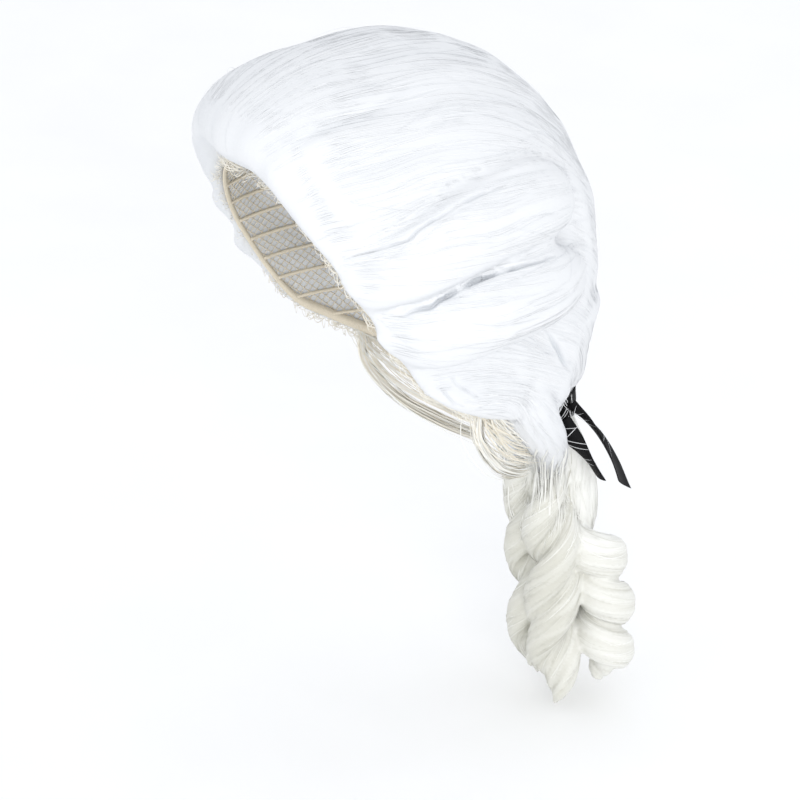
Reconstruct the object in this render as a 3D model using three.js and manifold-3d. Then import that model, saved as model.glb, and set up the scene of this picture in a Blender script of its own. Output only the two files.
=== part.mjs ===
// A white baroque wig: hair on a net cap, two rolled curls a side and a ribbon-tied tail of ringlets.
// Millimetres, +Z up. The origin is the inside top of the cap, where it sits on the top of a head.
// The face looks along -Y and the wearer's left is +X.
// A place on the head is a turn (degrees from the middle of the face towards the left ear) and a drop
// (millimetres down from the top) or a polar angle (degrees down from the top, seen from the middle).
import * as THREE from 'three';
import { LoftGeometry } from 'three/addons/geometries/LoftGeometry.js';
import { mergeVertices } from 'three/addons/utils/BufferGeometryUtils.js';
import Module from 'manifold-3d';

const wasm = await Module();
wasm.setup();

// Head hollow: an egg down to its widest level, then a taper towards the nape
const HEAD_HALF_BREADTH = 77;
const HEAD_FRONT = 97;
const HEAD_BACK = 98;
const HEAD_HEIGHT = 95;
const NAPE_REACH = 90;
const NAPE_BREADTH_LOSS = 18;
const NAPE_BACK_LOSS = 25;
const NAPE_BREADTH_POWER = 2;
const NAPE_BACK_POWER = 1.5;
const FRAME_NUDGE = 0.5;

// Cap and fits
const CAP_WALL = 1.5;
const FIT_GAP = 0.3;
const CAP_GAP = 0.4;
const HAIR_BASE = CAP_WALL + CAP_GAP;
const APEX_POLAR = 3;
const COLUMN_RUNS = [
  { from: 0, to: 24, columns: 3 },
  { from: 24, to: 80, columns: 13 },
  { from: 80, to: 180, columns: 11 },
];
const HEAD_ROWS = [0.2, 0.4, 0.6, 0.8, 1];
const WELD = 1e-4;

const HAIRLINE = [
  { turn: 0, drop: 37 },
  { turn: 20, drop: 38 },
  { turn: 33, drop: 47 },
  { turn: 50, drop: 72 },
  { turn: 63, drop: 104 },
  { turn: 71, drop: 126 },
  { turn: 80, drop: 147 },
  { turn: 95, drop: 163 },
  { turn: 114, drop: 176 },
  { turn: 150, drop: 186 },
  { turn: 180, drop: 188 },
];

// Depth of the combed hair: over the top, at the ledge above the rolls, in the bed under them, at the hem
const TOP_DEPTH = 20.5;
const CROWN = [
  { turn: 0, ledge: 18, crest: 29, bed: 30, hem: 30 },
  { turn: 20, ledge: 20, crest: 30, bed: 30, hem: 30 },
  { turn: 32, ledge: 27, crest: 30, bed: 29, hem: 26 },
  { turn: 42, ledge: 40, crest: 28, bed: 22, hem: 18 },
  { turn: 50, ledge: 54, crest: 25, bed: 13, hem: 12 },
  { turn: 58, ledge: 62, crest: 24, bed: 8, hem: 9 },
  { turn: 70, ledge: 58, crest: 23, bed: 6, hem: 9 },
  { turn: 90, ledge: 47, crest: 23, bed: 6, hem: 10 },
  { turn: 115, ledge: 44, crest: 22, bed: 6, hem: 12 },
  { turn: 130, ledge: 50, crest: 21, bed: 12, hem: 17 },
  { turn: 145, ledge: 66, crest: 20, bed: 21, hem: 28 },
  { turn: 180, ledge: 80, crest: 20, bed: 23, hem: 36 },
];
const CREST_ROWS = [0.2, 0.4, 0.6, 0.77, 0.91];
const LEDGE_STEP = 5;
const LEDGE_SHARE = 0.6;
const BED_ROWS = [0.3, 0.6, 0.85];
const HEM_RISE = 0.7;
const HEM_TURNS = [90, 55, 20, -20, -60];

// Hair gathered from the nape into the tie
const GATHER = [
  { drop: 110, halfWidth: 46, front: 40, back: 110 },
  { drop: 124, halfWidth: 57, front: 42, back: 122.5 },
  { drop: 136, halfWidth: 62, front: 48, back: 127.5 },
  { drop: 146, halfWidth: 58, front: 56, back: 123 },
  { drop: 165, halfWidth: 49, front: 66, back: 121 },
  { drop: 182, halfWidth: 38, front: 76, back: 124 },
  { drop: 195, halfWidth: 26, front: 85, back: 123 },
  { drop: 205.5, halfWidth: 19, front: 88, back: 120 },
];
const GATHER_SIDES = 24;
const PLUG_REACH = 20;
const PLUG_FOOT = 240;
const HEART_DROP = 150;

// Rolled curls: half height along the head, and how far they stand out from the foot of the hair
const ROLL_FOOT = 3;
const ROLL_SIDES = 12;
const ROLL_STEPS = 11;
const ROLL_ENDS = [0.35, 0.75];
const ROLL_END_STEP = 3.5;
const ROLL_UPPER = [
  { turn: 60, drop: 77, halfHeight: 18, depth: 13 },
  { turn: 66, drop: 75, halfHeight: 20.5, depth: 20 },
  { turn: 74, drop: 70, halfHeight: 22.5, depth: 26 },
  { turn: 86, drop: 63, halfHeight: 23.5, depth: 29 },
  { turn: 102, drop: 58, halfHeight: 24, depth: 29 },
  { turn: 118, drop: 58, halfHeight: 23, depth: 29 },
  { turn: 128, drop: 60, halfHeight: 19, depth: 27 },
];
const ROLL_LOWER = [
  { turn: 70, drop: 109, halfHeight: 15, depth: 12 },
  { turn: 75, drop: 109, halfHeight: 18.5, depth: 19 },
  { turn: 82, drop: 107, halfHeight: 21, depth: 25 },
  { turn: 92, drop: 102, halfHeight: 22.5, depth: 29 },
  { turn: 105, drop: 98, halfHeight: 23.5, depth: 30 },
  { turn: 120, drop: 98, halfHeight: 22.5, depth: 30 },
  { turn: 130, drop: 102, halfHeight: 17, depth: 27 },
];

// Loose lock that loops under the nape
const NAPE_LOCK = [
  { x: 63, y: 26, z: -170, half: 2.5 },
  { x: 61, y: 27, z: -190, half: 3.5 },
  { x: 54, y: 42, z: -212, half: 4 },
  { x: 40, y: 62, z: -227, half: 3.5 },
  { x: 24, y: 80, z: -236, half: 2 },
];
const LOCK_HALF_THICK = 1.8;
const LOCK_SIDES = 6;
const LOCK_STEPS = 8;

// Ribbon: a band round the tie, a flat knot on its left and two tails
const TIE = new THREE.Vector3(0, 104, -205.5);
const BAND_CENTRE = new THREE.Vector3(3, 107, -205.5);
const BAND_RADIUS_X = 18;
const BAND_RADIUS_Y = 13.5;
const RIBBON_WIDTH = 15;
const RIBBON_THICK = 1;
const BAND_SIDES = 24;
const KNOT_TURN = -15;
const KNOT_SIZE = { thick: 5, wide: 11, high: 17 };
const KNOT_ROUND = 1.5;
const TAIL_STEPS = 12;
const TAIL_UPPER = [
  { x: 29, y: 106, z: -202, width: 8, heading: 10 },
  { x: 30, y: 116, z: -209, width: 9, heading: 20 },
  { x: 30, y: 126, z: -222, width: 10, heading: -25 },
  { x: 28, y: 135, z: -238, width: 10.5, heading: -55 },
  { x: 26, y: 142, z: -253, width: 10.5, heading: -40 },
];
const TAIL_LOWER = [
  { x: 30, y: 101, z: -208, width: 8, heading: 30 },
  { x: 35, y: 106, z: -219, width: 10, heading: 50 },
  { x: 37, y: 113, z: -229, width: 10, heading: 20 },
  { x: 37, y: 119, z: -236, width: 9.5, heading: -10 },
  { x: 36, y: 125, z: -243, width: 8, heading: -25 },
];
const TAIL_CUT = 4;

// Tail of ringlets: each is one lock or two wound together, spread from the tie, then hung straight down
const RINGLET_SPREAD = 60;
const RINGLET_START = 0.25;
const TAIL_DRIFT = 9;
const RINGLETS = [
  { x: 12, y: -3, top: -220, end: -390, locks: 2, turns: 2.2, start: 20, hand: -1, coil: 7.5, deep: 8.8 },
  { x: 19, y: 27, top: -262, end: -383, locks: 1, turns: 4.1, start: 230, hand: 1, coil: 8.2, deep: 9.8 },
  { x: -17, y: 21, top: -262, end: -380, locks: 1, turns: 3.9, start: 345, hand: -1, coil: 8.2, deep: 9.6 },
  { x: -11, y: -2, top: -220, end: -384, locks: 2, turns: 2, start: 100, hand: -1, coil: 7.2, deep: 8.6 },
];
const LOCK_SPACE = 0.52;
const LOCK_TURN = 170;
const LOCK_STAGGER = 7;
const RINGLET_ROOT = { swell: 0.4, until: 0.3 };
const RINGLET_TIP = { swell: 0.4, from: 0.76 };
const COIL_STEPS = 9;
const COIL_SIDES = 7;
const HEART_SHARE = 1.15;
const HEART_STEPS = 7;
const HEART_SIDES = 8;
const NECK = [
  { z: -205.8, halfWidth: 19, front: 88, back: 120 },
  { z: -216, halfWidth: 19, front: 89, back: 122 },
  { z: -235, halfWidth: 19, front: 96, back: 130 },
  { z: -260, halfWidth: 18, front: 104, back: 139 },
  { z: -285, halfWidth: 15, front: 105, back: 141 },
  { z: -305, halfWidth: 10, front: 110, back: 136 },
];
const NECK_SIDES = 20;

// Finishes
const HAIR = new THREE.MeshStandardMaterial({ color: 0xf4f5f7, roughness: 0.55, metalness: 0 });
const NET = new THREE.MeshStandardMaterial({ color: 0xe9e0cc, roughness: 0.9, metalness: 0 });
const SATIN = new THREE.MeshStandardMaterial({ color: 0x121214, roughness: 0.35, metalness: 0 });

const { degToRad, lerp, smoothstep, clamp } = THREE.MathUtils;

// Smooth course of one column of a table along another
function course(rows, key, column) {
  const places = rows.map((row) => row[key]);
  const values = rows.map((row) => row[column]);
  const curve = new THREE.CubicInterpolant(places, values, 1);
  return (place) => curve.evaluate(clamp(place, places[0], places[places.length - 1]))[0];
}

const hairlineDrop = course(HAIRLINE, 'turn', 'drop');
const crownDepth = {};
for (const column of ['ledge', 'crest', 'bed', 'hem']) {
  crownDepth[column] = course(CROWN, 'turn', column);
}

function polarOf(drop) {
  if (drop <= HEAD_HEIGHT) return Math.acos(1 - drop / HEAD_HEIGHT) / degToRad(1);
  return 90 + (drop / HEAD_HEIGHT - 1) / degToRad(1);
}

function headPoint(turn, polar) {
  const below = HEAD_HEIGHT * degToRad(Math.max(polar - 90, 0));
  const reach = below / NAPE_REACH;
  const spread = Math.sin(degToRad(Math.min(polar, 90)));
  const breadth = HEAD_HALF_BREADTH - NAPE_BREADTH_LOSS * reach ** NAPE_BREADTH_POWER;
  const front = Math.cos(degToRad(turn)) > 0;
  const depth = (front ? HEAD_FRONT : HEAD_BACK) - NAPE_BACK_LOSS * reach ** NAPE_BACK_POWER;
  const drop = HEAD_HEIGHT * (1 - Math.cos(degToRad(Math.min(polar, 90)))) + below;
  const x = breadth * spread * Math.sin(degToRad(turn));
  return new THREE.Vector3(x, -depth * spread * Math.cos(degToRad(turn)), -drop);
}

// Outward and hemward directions on the head
function headFrame(turn, polar) {
  const hemward = headPoint(turn, polar + FRAME_NUDGE).sub(headPoint(turn, polar - FRAME_NUDGE)).normalize();
  const sideways = headPoint(turn + FRAME_NUDGE, polar).sub(headPoint(turn - FRAME_NUDGE, polar));
  const outward = new THREE.Vector3().crossVectors(hemward, sideways).normalize();
  return { outward, hemward };
}

function overHead(turn, polar, lift) {
  return headPoint(turn, polar).addScaledVector(headFrame(turn, polar).outward, lift);
}

// Turns of the columns round the head, closest where the hairline runs steeply down the temples
const leftTurns = COLUMN_RUNS.flatMap(({ from, to, columns }) => (
  Array.from({ length: columns }, (_, column) => lerp(from, to, column / columns))
));
const rightTurns = [180, ...leftTurns.slice(1).reverse()].map((turn) => 360 - turn);
const columnTurns = [...leftTurns, ...rightTurns];

// A closed ring of points, one for each column round the head
function ringRound(pointAt) {
  return columnTurns.map((turn) => pointAt(turn, Math.min(turn, 360 - turn)));
}

// A small ring on the middle line of the head, to close a filled form
function smallRing(drop) {
  return ringRound((turn) => headPoint(turn, APEX_POLAR).setZ(-drop));
}

// The rows from the top to the hairline that cap and hair share, so that their facing walls run side by side
function headRows(lift) {
  const rows = [ringRound((turn) => overHead(turn, APEX_POLAR, lift))];
  for (const share of HEAD_ROWS) {
    rows.push(ringRound((turn, side) => {
      const hem = polarOf(hairlineDrop(side));
      return overHead(turn, lerp(APEX_POLAR, hem, share), lift);
    }));
  }
  return rows;
}

// Outer rows of the combed hair from the top down and round its rolled hem
function crownRows(extra) {
  const rows = [];
  const addRow = (pointAt) => rows.push(ringRound(pointAt));
  const ledgeOf = (side) => polarOf(crownDepth.ledge(side));
  const hemOf = (side) => {
    const radius = crownDepth.hem(side) / 2;
    return polarOf(hairlineDrop(side)) - (HEM_RISE * radius) / (HEAD_HEIGHT * degToRad(1));
  };
  const lifted = (turn, polar, depth) => overHead(turn, polar, HAIR_BASE + depth + extra);
  addRow((turn) => lifted(turn, APEX_POLAR, TOP_DEPTH));
  for (const share of CREST_ROWS) {
    addRow((turn, side) => {
      const depth = lerp(TOP_DEPTH, crownDepth.crest(side), smoothstep(share, 0, 1));
      return lifted(turn, lerp(APEX_POLAR, ledgeOf(side), share), depth);
    });
  }
  addRow((turn, side) => {
    const depth = lerp(crownDepth.crest(side), crownDepth.bed(side), LEDGE_SHARE);
    return lifted(turn, ledgeOf(side), depth);
  });
  addRow((turn, side) => lifted(turn, ledgeOf(side) + LEDGE_STEP, crownDepth.bed(side)));
  for (const share of BED_ROWS) {
    addRow((turn, side) => {
      const depth = lerp(crownDepth.bed(side), crownDepth.hem(side), share);
      return lifted(turn, lerp(ledgeOf(side) + LEDGE_STEP, hemOf(side), share), depth);
    });
  }
  for (const angle of HEM_TURNS) {
    addRow((turn, side) => {
      const radius = crownDepth.hem(side) / 2;
      const { outward, hemward } = headFrame(turn, hemOf(side));
      return overHead(turn, hemOf(side), HAIR_BASE + radius)
        .addScaledVector(outward, (radius + extra) * Math.sin(degToRad(angle)))
        .addScaledVector(hemward, (radius + extra) * Math.cos(degToRad(angle)));
    });
  }
  return rows;
}

// A closed solid through sections; a loop of sections ends on its first and needs no end faces
function lofted(sections, loop = false) {
  return solidOf(new LoftGeometry(sections, { capStart: !loop, capEnd: !loop }));
}

function solidOf(geometry) {
  const bare = new THREE.BufferGeometry();
  bare.setAttribute('position', geometry.getAttribute('position'));
  bare.setIndex(geometry.index);
  const welded = mergeVertices(bare, WELD);
  const vertProperties = welded.attributes.position.array;
  const triVerts = Uint32Array.from(welded.index.array);
  return new wasm.Manifold(new wasm.Mesh({ numProp: 3, vertProperties, triVerts }));
}

function named(name, solid, material) {
  const { vertProperties, triVerts } = solid.getMesh();
  const geometry = new THREE.BufferGeometry();
  geometry.setAttribute('position', new THREE.BufferAttribute(vertProperties, 3));
  geometry.setIndex(new THREE.BufferAttribute(triVerts, 1));
  geometry.computeVertexNormals();
  const mesh = new THREE.Mesh(geometry, material);
  mesh.name = name;
  return mesh;
}

// An oval level ring whose front and back lie at given depths
function levelOval(sides, z, halfWidth, front, back) {
  const ring = [];
  for (let side = 0; side < sides; side += 1) {
    const angle = (side / sides) * 2 * Math.PI;
    const y = (front + back) / 2 - ((back - front) / 2) * Math.cos(angle);
    ring.push(new THREE.Vector3(halfWidth * Math.sin(angle), y, z));
  }
  return ring;
}

// The same sections on the wearer's right, taken from the other end so that their faces stay outward
function onRight(sections) {
  return sections.map((ring) => ring.map((point) => point.clone().setX(-point.x))).reverse();
}

// The head hollow filled in out to a given lift, and on down past the hairline
function headPlug(lift) {
  const past = ringRound((turn, side) => {
    const polar = polarOf(hairlineDrop(side));
    return overHead(turn, polar, lift).addScaledVector(headFrame(turn, polar).hemward, PLUG_REACH);
  });
  return lofted([smallRing(PLUG_FOOT), past, ...headRows(lift).reverse()]);
}

function capSolid() {
  const filled = lofted([smallRing(HEART_DROP), ...headRows(CAP_WALL).reverse()]);
  return filled.subtract(headPlug(0));
}

// The combed hair filled in, with a little room added to cut what lies on it
function filledCrown(room) {
  const shell = lofted([smallRing(HEART_DROP), ...crownRows(room).reverse()]);
  const gathered = GATHER.map(({ drop, halfWidth, front, back }) => (
    levelOval(GATHER_SIDES, -drop, halfWidth + room, front - room, back + room)
  ));
  return shell.add(lofted(gathered.reverse()));
}

function crownSolid(ribbonCutter) {
  return filledCrown(0).subtract(headPlug(HAIR_BASE)).subtract(ribbonCutter);
}

// One rolled curl: ovals standing on the head along a row of stations, drawn in at both ends
function rollSections(stations, room = 0) {
  const first = stations[0].turn;
  const last = stations[stations.length - 1].turn;
  const dropAt = course(stations, 'turn', 'drop');
  const heightAt = course(stations, 'turn', 'halfHeight');
  const depthAt = course(stations, 'turn', 'depth');
  const places = [];
  ROLL_ENDS.forEach((share, index) => {
    places.push({ turn: first - (ROLL_ENDS.length - index) * ROLL_END_STEP, share });
  });
  for (let step = 0; step <= ROLL_STEPS; step += 1) {
    places.push({ turn: lerp(first, last, step / ROLL_STEPS), share: 1 });
  }
  [...ROLL_ENDS].reverse().forEach((share, index) => {
    places.push({ turn: last + (index + 1) * ROLL_END_STEP, share });
  });
  return places.map(({ turn, share }) => {
    const polar = polarOf(dropAt(turn));
    const { outward, hemward } = headFrame(turn, polar);
    const centre = overHead(turn, polar, HAIR_BASE + (depthAt(turn) + ROLL_FOOT) / 2);
    const halfDepth = share * (depthAt(turn) - ROLL_FOOT) / 2 + room;
    const halfHeight = share * heightAt(turn) + room;
    const ring = [];
    for (let side = 0; side < ROLL_SIDES; side += 1) {
      const angle = (side / ROLL_SIDES) * 2 * Math.PI;
      ring.push(centre.clone()
        .addScaledVector(outward, halfDepth * Math.cos(angle))
        .addScaledVector(hemward, halfHeight * Math.sin(angle)));
    }
    return ring;
  });
}

// A lock of hair along a table of places, flat ovals square to its run
function lockSections(rows) {
  const path = new THREE.CatmullRomCurve3(rows.map(({ x, y, z }) => new THREE.Vector3(x, y, z)));
  const halfAt = course(rows.map((row, index) => ({ ...row, index })), 'index', 'half');
  const sections = [];
  for (let step = 0; step <= LOCK_STEPS; step += 1) {
    const share = step / LOCK_STEPS;
    const centre = path.getPoint(share);
    const along = path.getTangent(share);
    const flat = new THREE.Vector3(1, 0, 0).addScaledVector(along, -along.x).normalize();
    const wide = new THREE.Vector3().crossVectors(along, flat);
    const half = halfAt(share * (rows.length - 1));
    const ring = [];
    for (let side = 0; side < LOCK_SIDES; side += 1) {
      const angle = (side / LOCK_SIDES) * 2 * Math.PI;
      ring.push(centre.clone()
        .addScaledVector(flat, LOCK_HALF_THICK * Math.cos(angle))
        .addScaledVector(wide, half * Math.sin(angle)));
    }
    sections.push(ring);
  }
  return sections;
}

// The ribbon's turn round the tie, with room added on every side for its groove
function bandSolid(room) {
  const half = RIBBON_WIDTH / 2 + room;
  const sections = [];
  for (let side = 0; side <= BAND_SIDES; side += 1) {
    const angle = ((side % BAND_SIDES) / BAND_SIDES) * 2 * Math.PI;
    const place = (radial, level) => new THREE.Vector3(
      BAND_CENTRE.x + (BAND_RADIUS_X + radial) * Math.cos(angle),
      BAND_CENTRE.y + (BAND_RADIUS_Y + radial) * Math.sin(angle),
      BAND_CENTRE.z + level,
    );
    const inner = -room;
    const outer = RIBBON_THICK + room;
    sections.push([place(inner, -half), place(inner, half), place(outer, half), place(outer, -half)]);
  }
  return lofted(sections, true);
}

// The flat knot on the outside of the band
function knotSolid(room) {
  const outer = KNOT_SIZE.thick + room;
  const half = KNOT_SIZE.wide / 2 + room;
  const high = KNOT_SIZE.high + 2 * room;
  const outline = new THREE.Shape();
  outline.moveTo(-room, -half);
  outline.lineTo(outer - KNOT_ROUND, -half);
  outline.lineTo(outer, KNOT_ROUND - half);
  outline.lineTo(outer, half - KNOT_ROUND);
  outline.lineTo(outer - KNOT_ROUND, half);
  outline.lineTo(-room, half);
  const block = new THREE.ExtrudeGeometry(outline, { depth: high, bevelEnabled: false });
  const angle = degToRad(KNOT_TURN);
  const stand = RIBBON_THICK + FIT_GAP;
  block.translate(0, 0, -high / 2);
  block.rotateZ(angle);
  block.translate(
    BAND_CENTRE.x + (BAND_RADIUS_X + stand) * Math.cos(angle),
    BAND_CENTRE.y + (BAND_RADIUS_Y + stand) * Math.sin(angle),
    BAND_CENTRE.z,
  );
  return solidOf(block);
}

// A free end of the ribbon: a flat strip whose width turns from level to level, cut aslant at its end
function tailSolid(rows) {
  const path = new THREE.CatmullRomCurve3(rows.map(({ x, y, z }) => new THREE.Vector3(x, y, z)));
  const numbered = rows.map((row, index) => ({ ...row, index }));
  const widthAt = course(numbered, 'index', 'width');
  const headingAt = course(numbered, 'index', 'heading');
  const sections = [];
  for (let step = 0; step <= TAIL_STEPS; step += 1) {
    const share = step / TAIL_STEPS;
    const place = share * (rows.length - 1);
    const centre = path.getPoint(share);
    const along = path.getTangent(share);
    const heading = degToRad(headingAt(place));
    const wide = new THREE.Vector3(Math.cos(heading), Math.sin(heading), 0);
    wide.addScaledVector(along, -wide.dot(along)).normalize();
    const face = new THREE.Vector3().crossVectors(along, wide);
    const cut = step === TAIL_STEPS ? TAIL_CUT : 0;
    const corner = (across, through) => centre.clone()
      .addScaledVector(wide, (across * widthAt(place)) / 2)
      .addScaledVector(face, (through * RIBBON_THICK) / 2)
      .addScaledVector(along, across * cut);
    sections.push([corner(-1, -1), corner(1, -1), corner(1, 1), corner(-1, 1)]);
  }
  return lofted(sections).subtract(knotSolid(FIT_GAP));
}

// Middle line of one ringlet
function ringletAxis({ x, y, top, end }, share) {
  const z = lerp(top, end, share);
  const spread = lerp(RINGLET_START, 1, smoothstep(top - z, 0, RINGLET_SPREAD));
  const drift = TAIL_DRIFT * (TIE.z - z) / (TIE.z - end);
  return new THREE.Vector3(TIE.x + x * spread, TIE.y + y * spread + drift, z);
}

// How full a ringlet is along its run, thinner at both ends
function ringletSwell(share) {
  const root = lerp(RINGLET_ROOT.swell, 1, smoothstep(share, 0, RINGLET_ROOT.until));
  return root * lerp(1, RINGLET_TIP.swell, smoothstep(share, RINGLET_TIP.from, 1));
}

// One lock of a ringlet, wound close round its middle line
function lockSolid(ringlet) {
  const { top, end, locks, turns, start, hand, coil, deep } = ringlet;
  const high = (LOCK_SPACE * (top - end)) / (turns * locks);
  const steps = Math.round(turns * COIL_STEPS);
  const sections = [];
  for (let step = 0; step <= steps; step += 1) {
    const share = step / steps;
    const swell = ringletSwell(share);
    const angle = degToRad(start + hand * 360 * turns * share);
    const outward = new THREE.Vector3(Math.cos(angle), Math.sin(angle), 0);
    const centre = ringletAxis(ringlet, share).addScaledVector(outward, coil * swell);
    const ring = [];
    for (let side = 0; side < COIL_SIDES; side += 1) {
      const around = (side / COIL_SIDES) * 2 * Math.PI;
      const level = -hand * high * swell * Math.sin(around);
      ring.push(centre.clone()
        .addScaledVector(outward, deep * swell * Math.cos(around))
        .add(new THREE.Vector3(0, 0, level)));
    }
    sections.push(ring);
  }
  return lofted(sections);
}

// The heart of a ringlet, which its locks wind round
function heartSolid(ringlet) {
  const sections = [];
  for (let step = HEART_STEPS; step >= 0; step -= 1) {
    const share = step / HEART_STEPS;
    const radius = HEART_SHARE * ringlet.coil * ringletSwell(share);
    const centre = ringletAxis(ringlet, share);
    const ring = [];
    for (let side = 0; side < HEART_SIDES; side += 1) {
      const angle = (side / HEART_SIDES) * 2 * Math.PI;
      ring.push(new THREE.Vector3(Math.cos(angle), Math.sin(angle), 0).multiplyScalar(radius).add(centre));
    }
    sections.push(ring);
  }
  return lofted(sections);
}

function ponytailSolid(ribbonCutter) {
  const rows = NECK.map(({ z, halfWidth, front, back }) => levelOval(NECK_SIDES, z, halfWidth, front, back));
  let tail = lofted(rows.reverse());
  for (const ringlet of RINGLETS) {
    tail = tail.add(heartSolid(ringlet));
    for (let lock = 0; lock < ringlet.locks; lock += 1) {
      const start = ringlet.start + lock * LOCK_TURN;
      const end = ringlet.end + lock * LOCK_STAGGER;
      tail = tail.add(lockSolid({ ...ringlet, start, end }));
    }
  }
  return tail.subtract(ribbonCutter);
}

const wig = new THREE.Group();
const ribbonCutter = bandSolid(FIT_GAP).add(knotSolid(FIT_GAP));
const cutter = filledCrown(FIT_GAP).add(headPlug(HAIR_BASE));

wig.add(named('cap', capSolid(), NET));
wig.add(named('crown_hair', crownSolid(ribbonCutter), HAIR));

for (const [side, placed] of Object.entries({ left: (sections) => sections, right: onRight })) {
  const upperRoom = lofted(placed(rollSections(ROLL_UPPER, FIT_GAP)));
  const sidePieces = {
    side_roll_upper: lofted(placed(rollSections(ROLL_UPPER))),
    side_roll_lower: lofted(placed(rollSections(ROLL_LOWER))).subtract(upperRoom),
    nape_lock: lofted(placed(lockSections(NAPE_LOCK))),
  };
  for (const [name, solid] of Object.entries(sidePieces)) {
    wig.add(named(`${name}_${side}`, solid.subtract(cutter), HAIR));
  }
}

wig.add(named('ponytail', ponytailSolid(ribbonCutter), HAIR));
wig.add(named('ribbon_band', bandSolid(0), SATIN));
wig.add(named('ribbon_knot', knotSolid(0), SATIN));
wig.add(named('ribbon_tail_upper', tailSolid(TAIL_UPPER), SATIN));
wig.add(named('ribbon_tail_lower', tailSolid(TAIL_LOWER), SATIN));

export default wig;
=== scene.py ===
"""Looks of a white baroque wig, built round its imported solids.

Meshes are in metres, +Z up, with the face towards -Y and the wearer's left towards +X.
Tables and working arrays are in millimetres.
"""

import math
from contextlib import contextmanager

import bmesh
import bpy
import numpy as np
from mathutils import Matrix, Vector
from mathutils.bvhtree import BVHTree
from mathutils.kdtree import KDTree


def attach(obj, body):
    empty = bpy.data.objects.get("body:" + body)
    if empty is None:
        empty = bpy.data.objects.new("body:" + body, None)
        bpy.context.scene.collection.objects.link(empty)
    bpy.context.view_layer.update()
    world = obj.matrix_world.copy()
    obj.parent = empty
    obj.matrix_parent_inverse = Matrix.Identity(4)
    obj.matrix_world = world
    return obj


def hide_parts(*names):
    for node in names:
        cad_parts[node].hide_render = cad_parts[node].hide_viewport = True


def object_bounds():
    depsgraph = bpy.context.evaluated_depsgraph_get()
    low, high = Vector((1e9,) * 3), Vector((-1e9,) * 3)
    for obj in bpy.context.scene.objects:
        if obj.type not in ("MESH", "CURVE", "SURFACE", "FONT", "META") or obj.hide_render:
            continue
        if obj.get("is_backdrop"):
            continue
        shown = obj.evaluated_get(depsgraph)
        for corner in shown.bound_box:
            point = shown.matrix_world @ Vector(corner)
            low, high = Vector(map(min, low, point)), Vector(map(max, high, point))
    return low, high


bl_info = {
    "name": "Baroque Wig",
    "version": (1, 0, 0),
    "blender": (4, 5, 0),
    "location": "3D View > Sidebar > Wig",
    "description": "Dresses the solids of a white baroque wig with combed hair, net and satin",
    "category": "Object",
}

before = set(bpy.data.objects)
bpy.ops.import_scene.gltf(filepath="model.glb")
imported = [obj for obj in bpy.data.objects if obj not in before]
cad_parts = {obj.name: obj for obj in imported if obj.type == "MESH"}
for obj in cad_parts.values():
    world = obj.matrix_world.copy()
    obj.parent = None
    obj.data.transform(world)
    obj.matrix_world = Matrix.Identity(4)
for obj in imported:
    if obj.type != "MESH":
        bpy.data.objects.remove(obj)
CAD_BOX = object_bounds()

MM = 0.001

# The head hollow, hairline, nape locks, tie and lines of the ringlets repeat the tables of the solids.
# The ribbon is thinner than its solids. Its tails and the locks of the ringlets are shaped more finely.
HEAD_HALF_BREADTH, HEAD_FRONT, HEAD_BACK, HEAD_HEIGHT = 77.0, 97.0, 98.0, 95.0
NAPE_REACH, NAPE_BREADTH_LOSS, NAPE_BACK_LOSS = 90.0, 18.0, 25.0
HAIRLINE = {
    "turn": (0, 20, 33, 50, 63, 71, 80, 95, 114, 150, 180),
    "drop": (37, 38, 47, 72, 104, 126, 147, 163, 176, 186, 188),
}
ROLLS = ("upper", "lower")
# Turn, drop and lift of the front end of each roll, where it runs into the combed hair
ROLL_FRONTS = ((64, 76, 10), (73, 109, 10))
NAPE_LOCK = ((63, 26, -170), (61, 27, -190), (54, 42, -212), (40, 62, -227), (24, 80, -236))
NAPE_LOCK_HALF = (2.5, 3.5, 4.0, 3.5, 2.0)
NAPE_LOCK_HALF_THICK = 1.8
# Line of the tightest hair under the nape
NAPE_HEM = ((63, 26, -170), (60, 42, -180), (50, 62, -191), (36, 82, -201), (20, 94, -214))
TIE = np.array((0.0, 104.0, -205.5))
BAND_CENTRE = np.array((3.0, 107.0, -205.5))
BAND_RADII = np.array((18.0, 13.5))
BAND_WIDTH = 15.0
RIBBON_THICK = 0.6
KNOT_TURN = math.radians(-15)
KNOT_SIZE = (5.0, 11.0, 17.0)
KNOT_STAND = 1.3
TAIL_WIDTH = 10.8
# Each tail's middle line, its width there, the way that its width heads, and the slant of its cut
TAILS = {
    "upper": {
        "path": (
            (28, 105, -201), (30, 115, -211), (30, 125.5, -225), (28.5, 136, -243), (26.5, 144, -260),
        ),
        "width": (8.5, 9.5, 10, 10.5, 10.5),
        "heading": (46, 2, -28, -42, -50),
        "cut": -9.0,
    },
    "lower": {
        "path": (
            (30, 100, -208), (34, 104.5, -219), (36, 110, -229), (36, 115.5, -236.5), (35, 121, -244),
        ),
        "width": (8, 10, 10, 9.5, 8),
        "heading": (30, 50, 20, -10, -25),
        "cut": 4.0,
    },
}
RINGLET_SPREAD, RINGLET_START, TAIL_DRIFT = 60.0, 0.25, 9.0
RINGLETS = (
    dict(x=12, y=-3, top=-220, end=-390, locks=2, turns=2.2, start=20, hand=-1, coil=7.5, deep=8.8),
    dict(x=19, y=27, top=-262, end=-383, locks=1, turns=4.1, start=230, hand=1, coil=8.2, deep=9.8),
    dict(x=-17, y=21, top=-262, end=-380, locks=1, turns=3.9, start=345, hand=-1, coil=8.2, deep=9.6),
    dict(x=-11, y=-2, top=-220, end=-384, locks=2, turns=2.0, start=100, hand=-1, coil=7.2, deep=8.6),
)
LOCK_SPACE, LOCK_TURN, LOCK_STAGGER, HEART_SHARE = 0.47, 170.0, 7.0, 1.02
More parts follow.
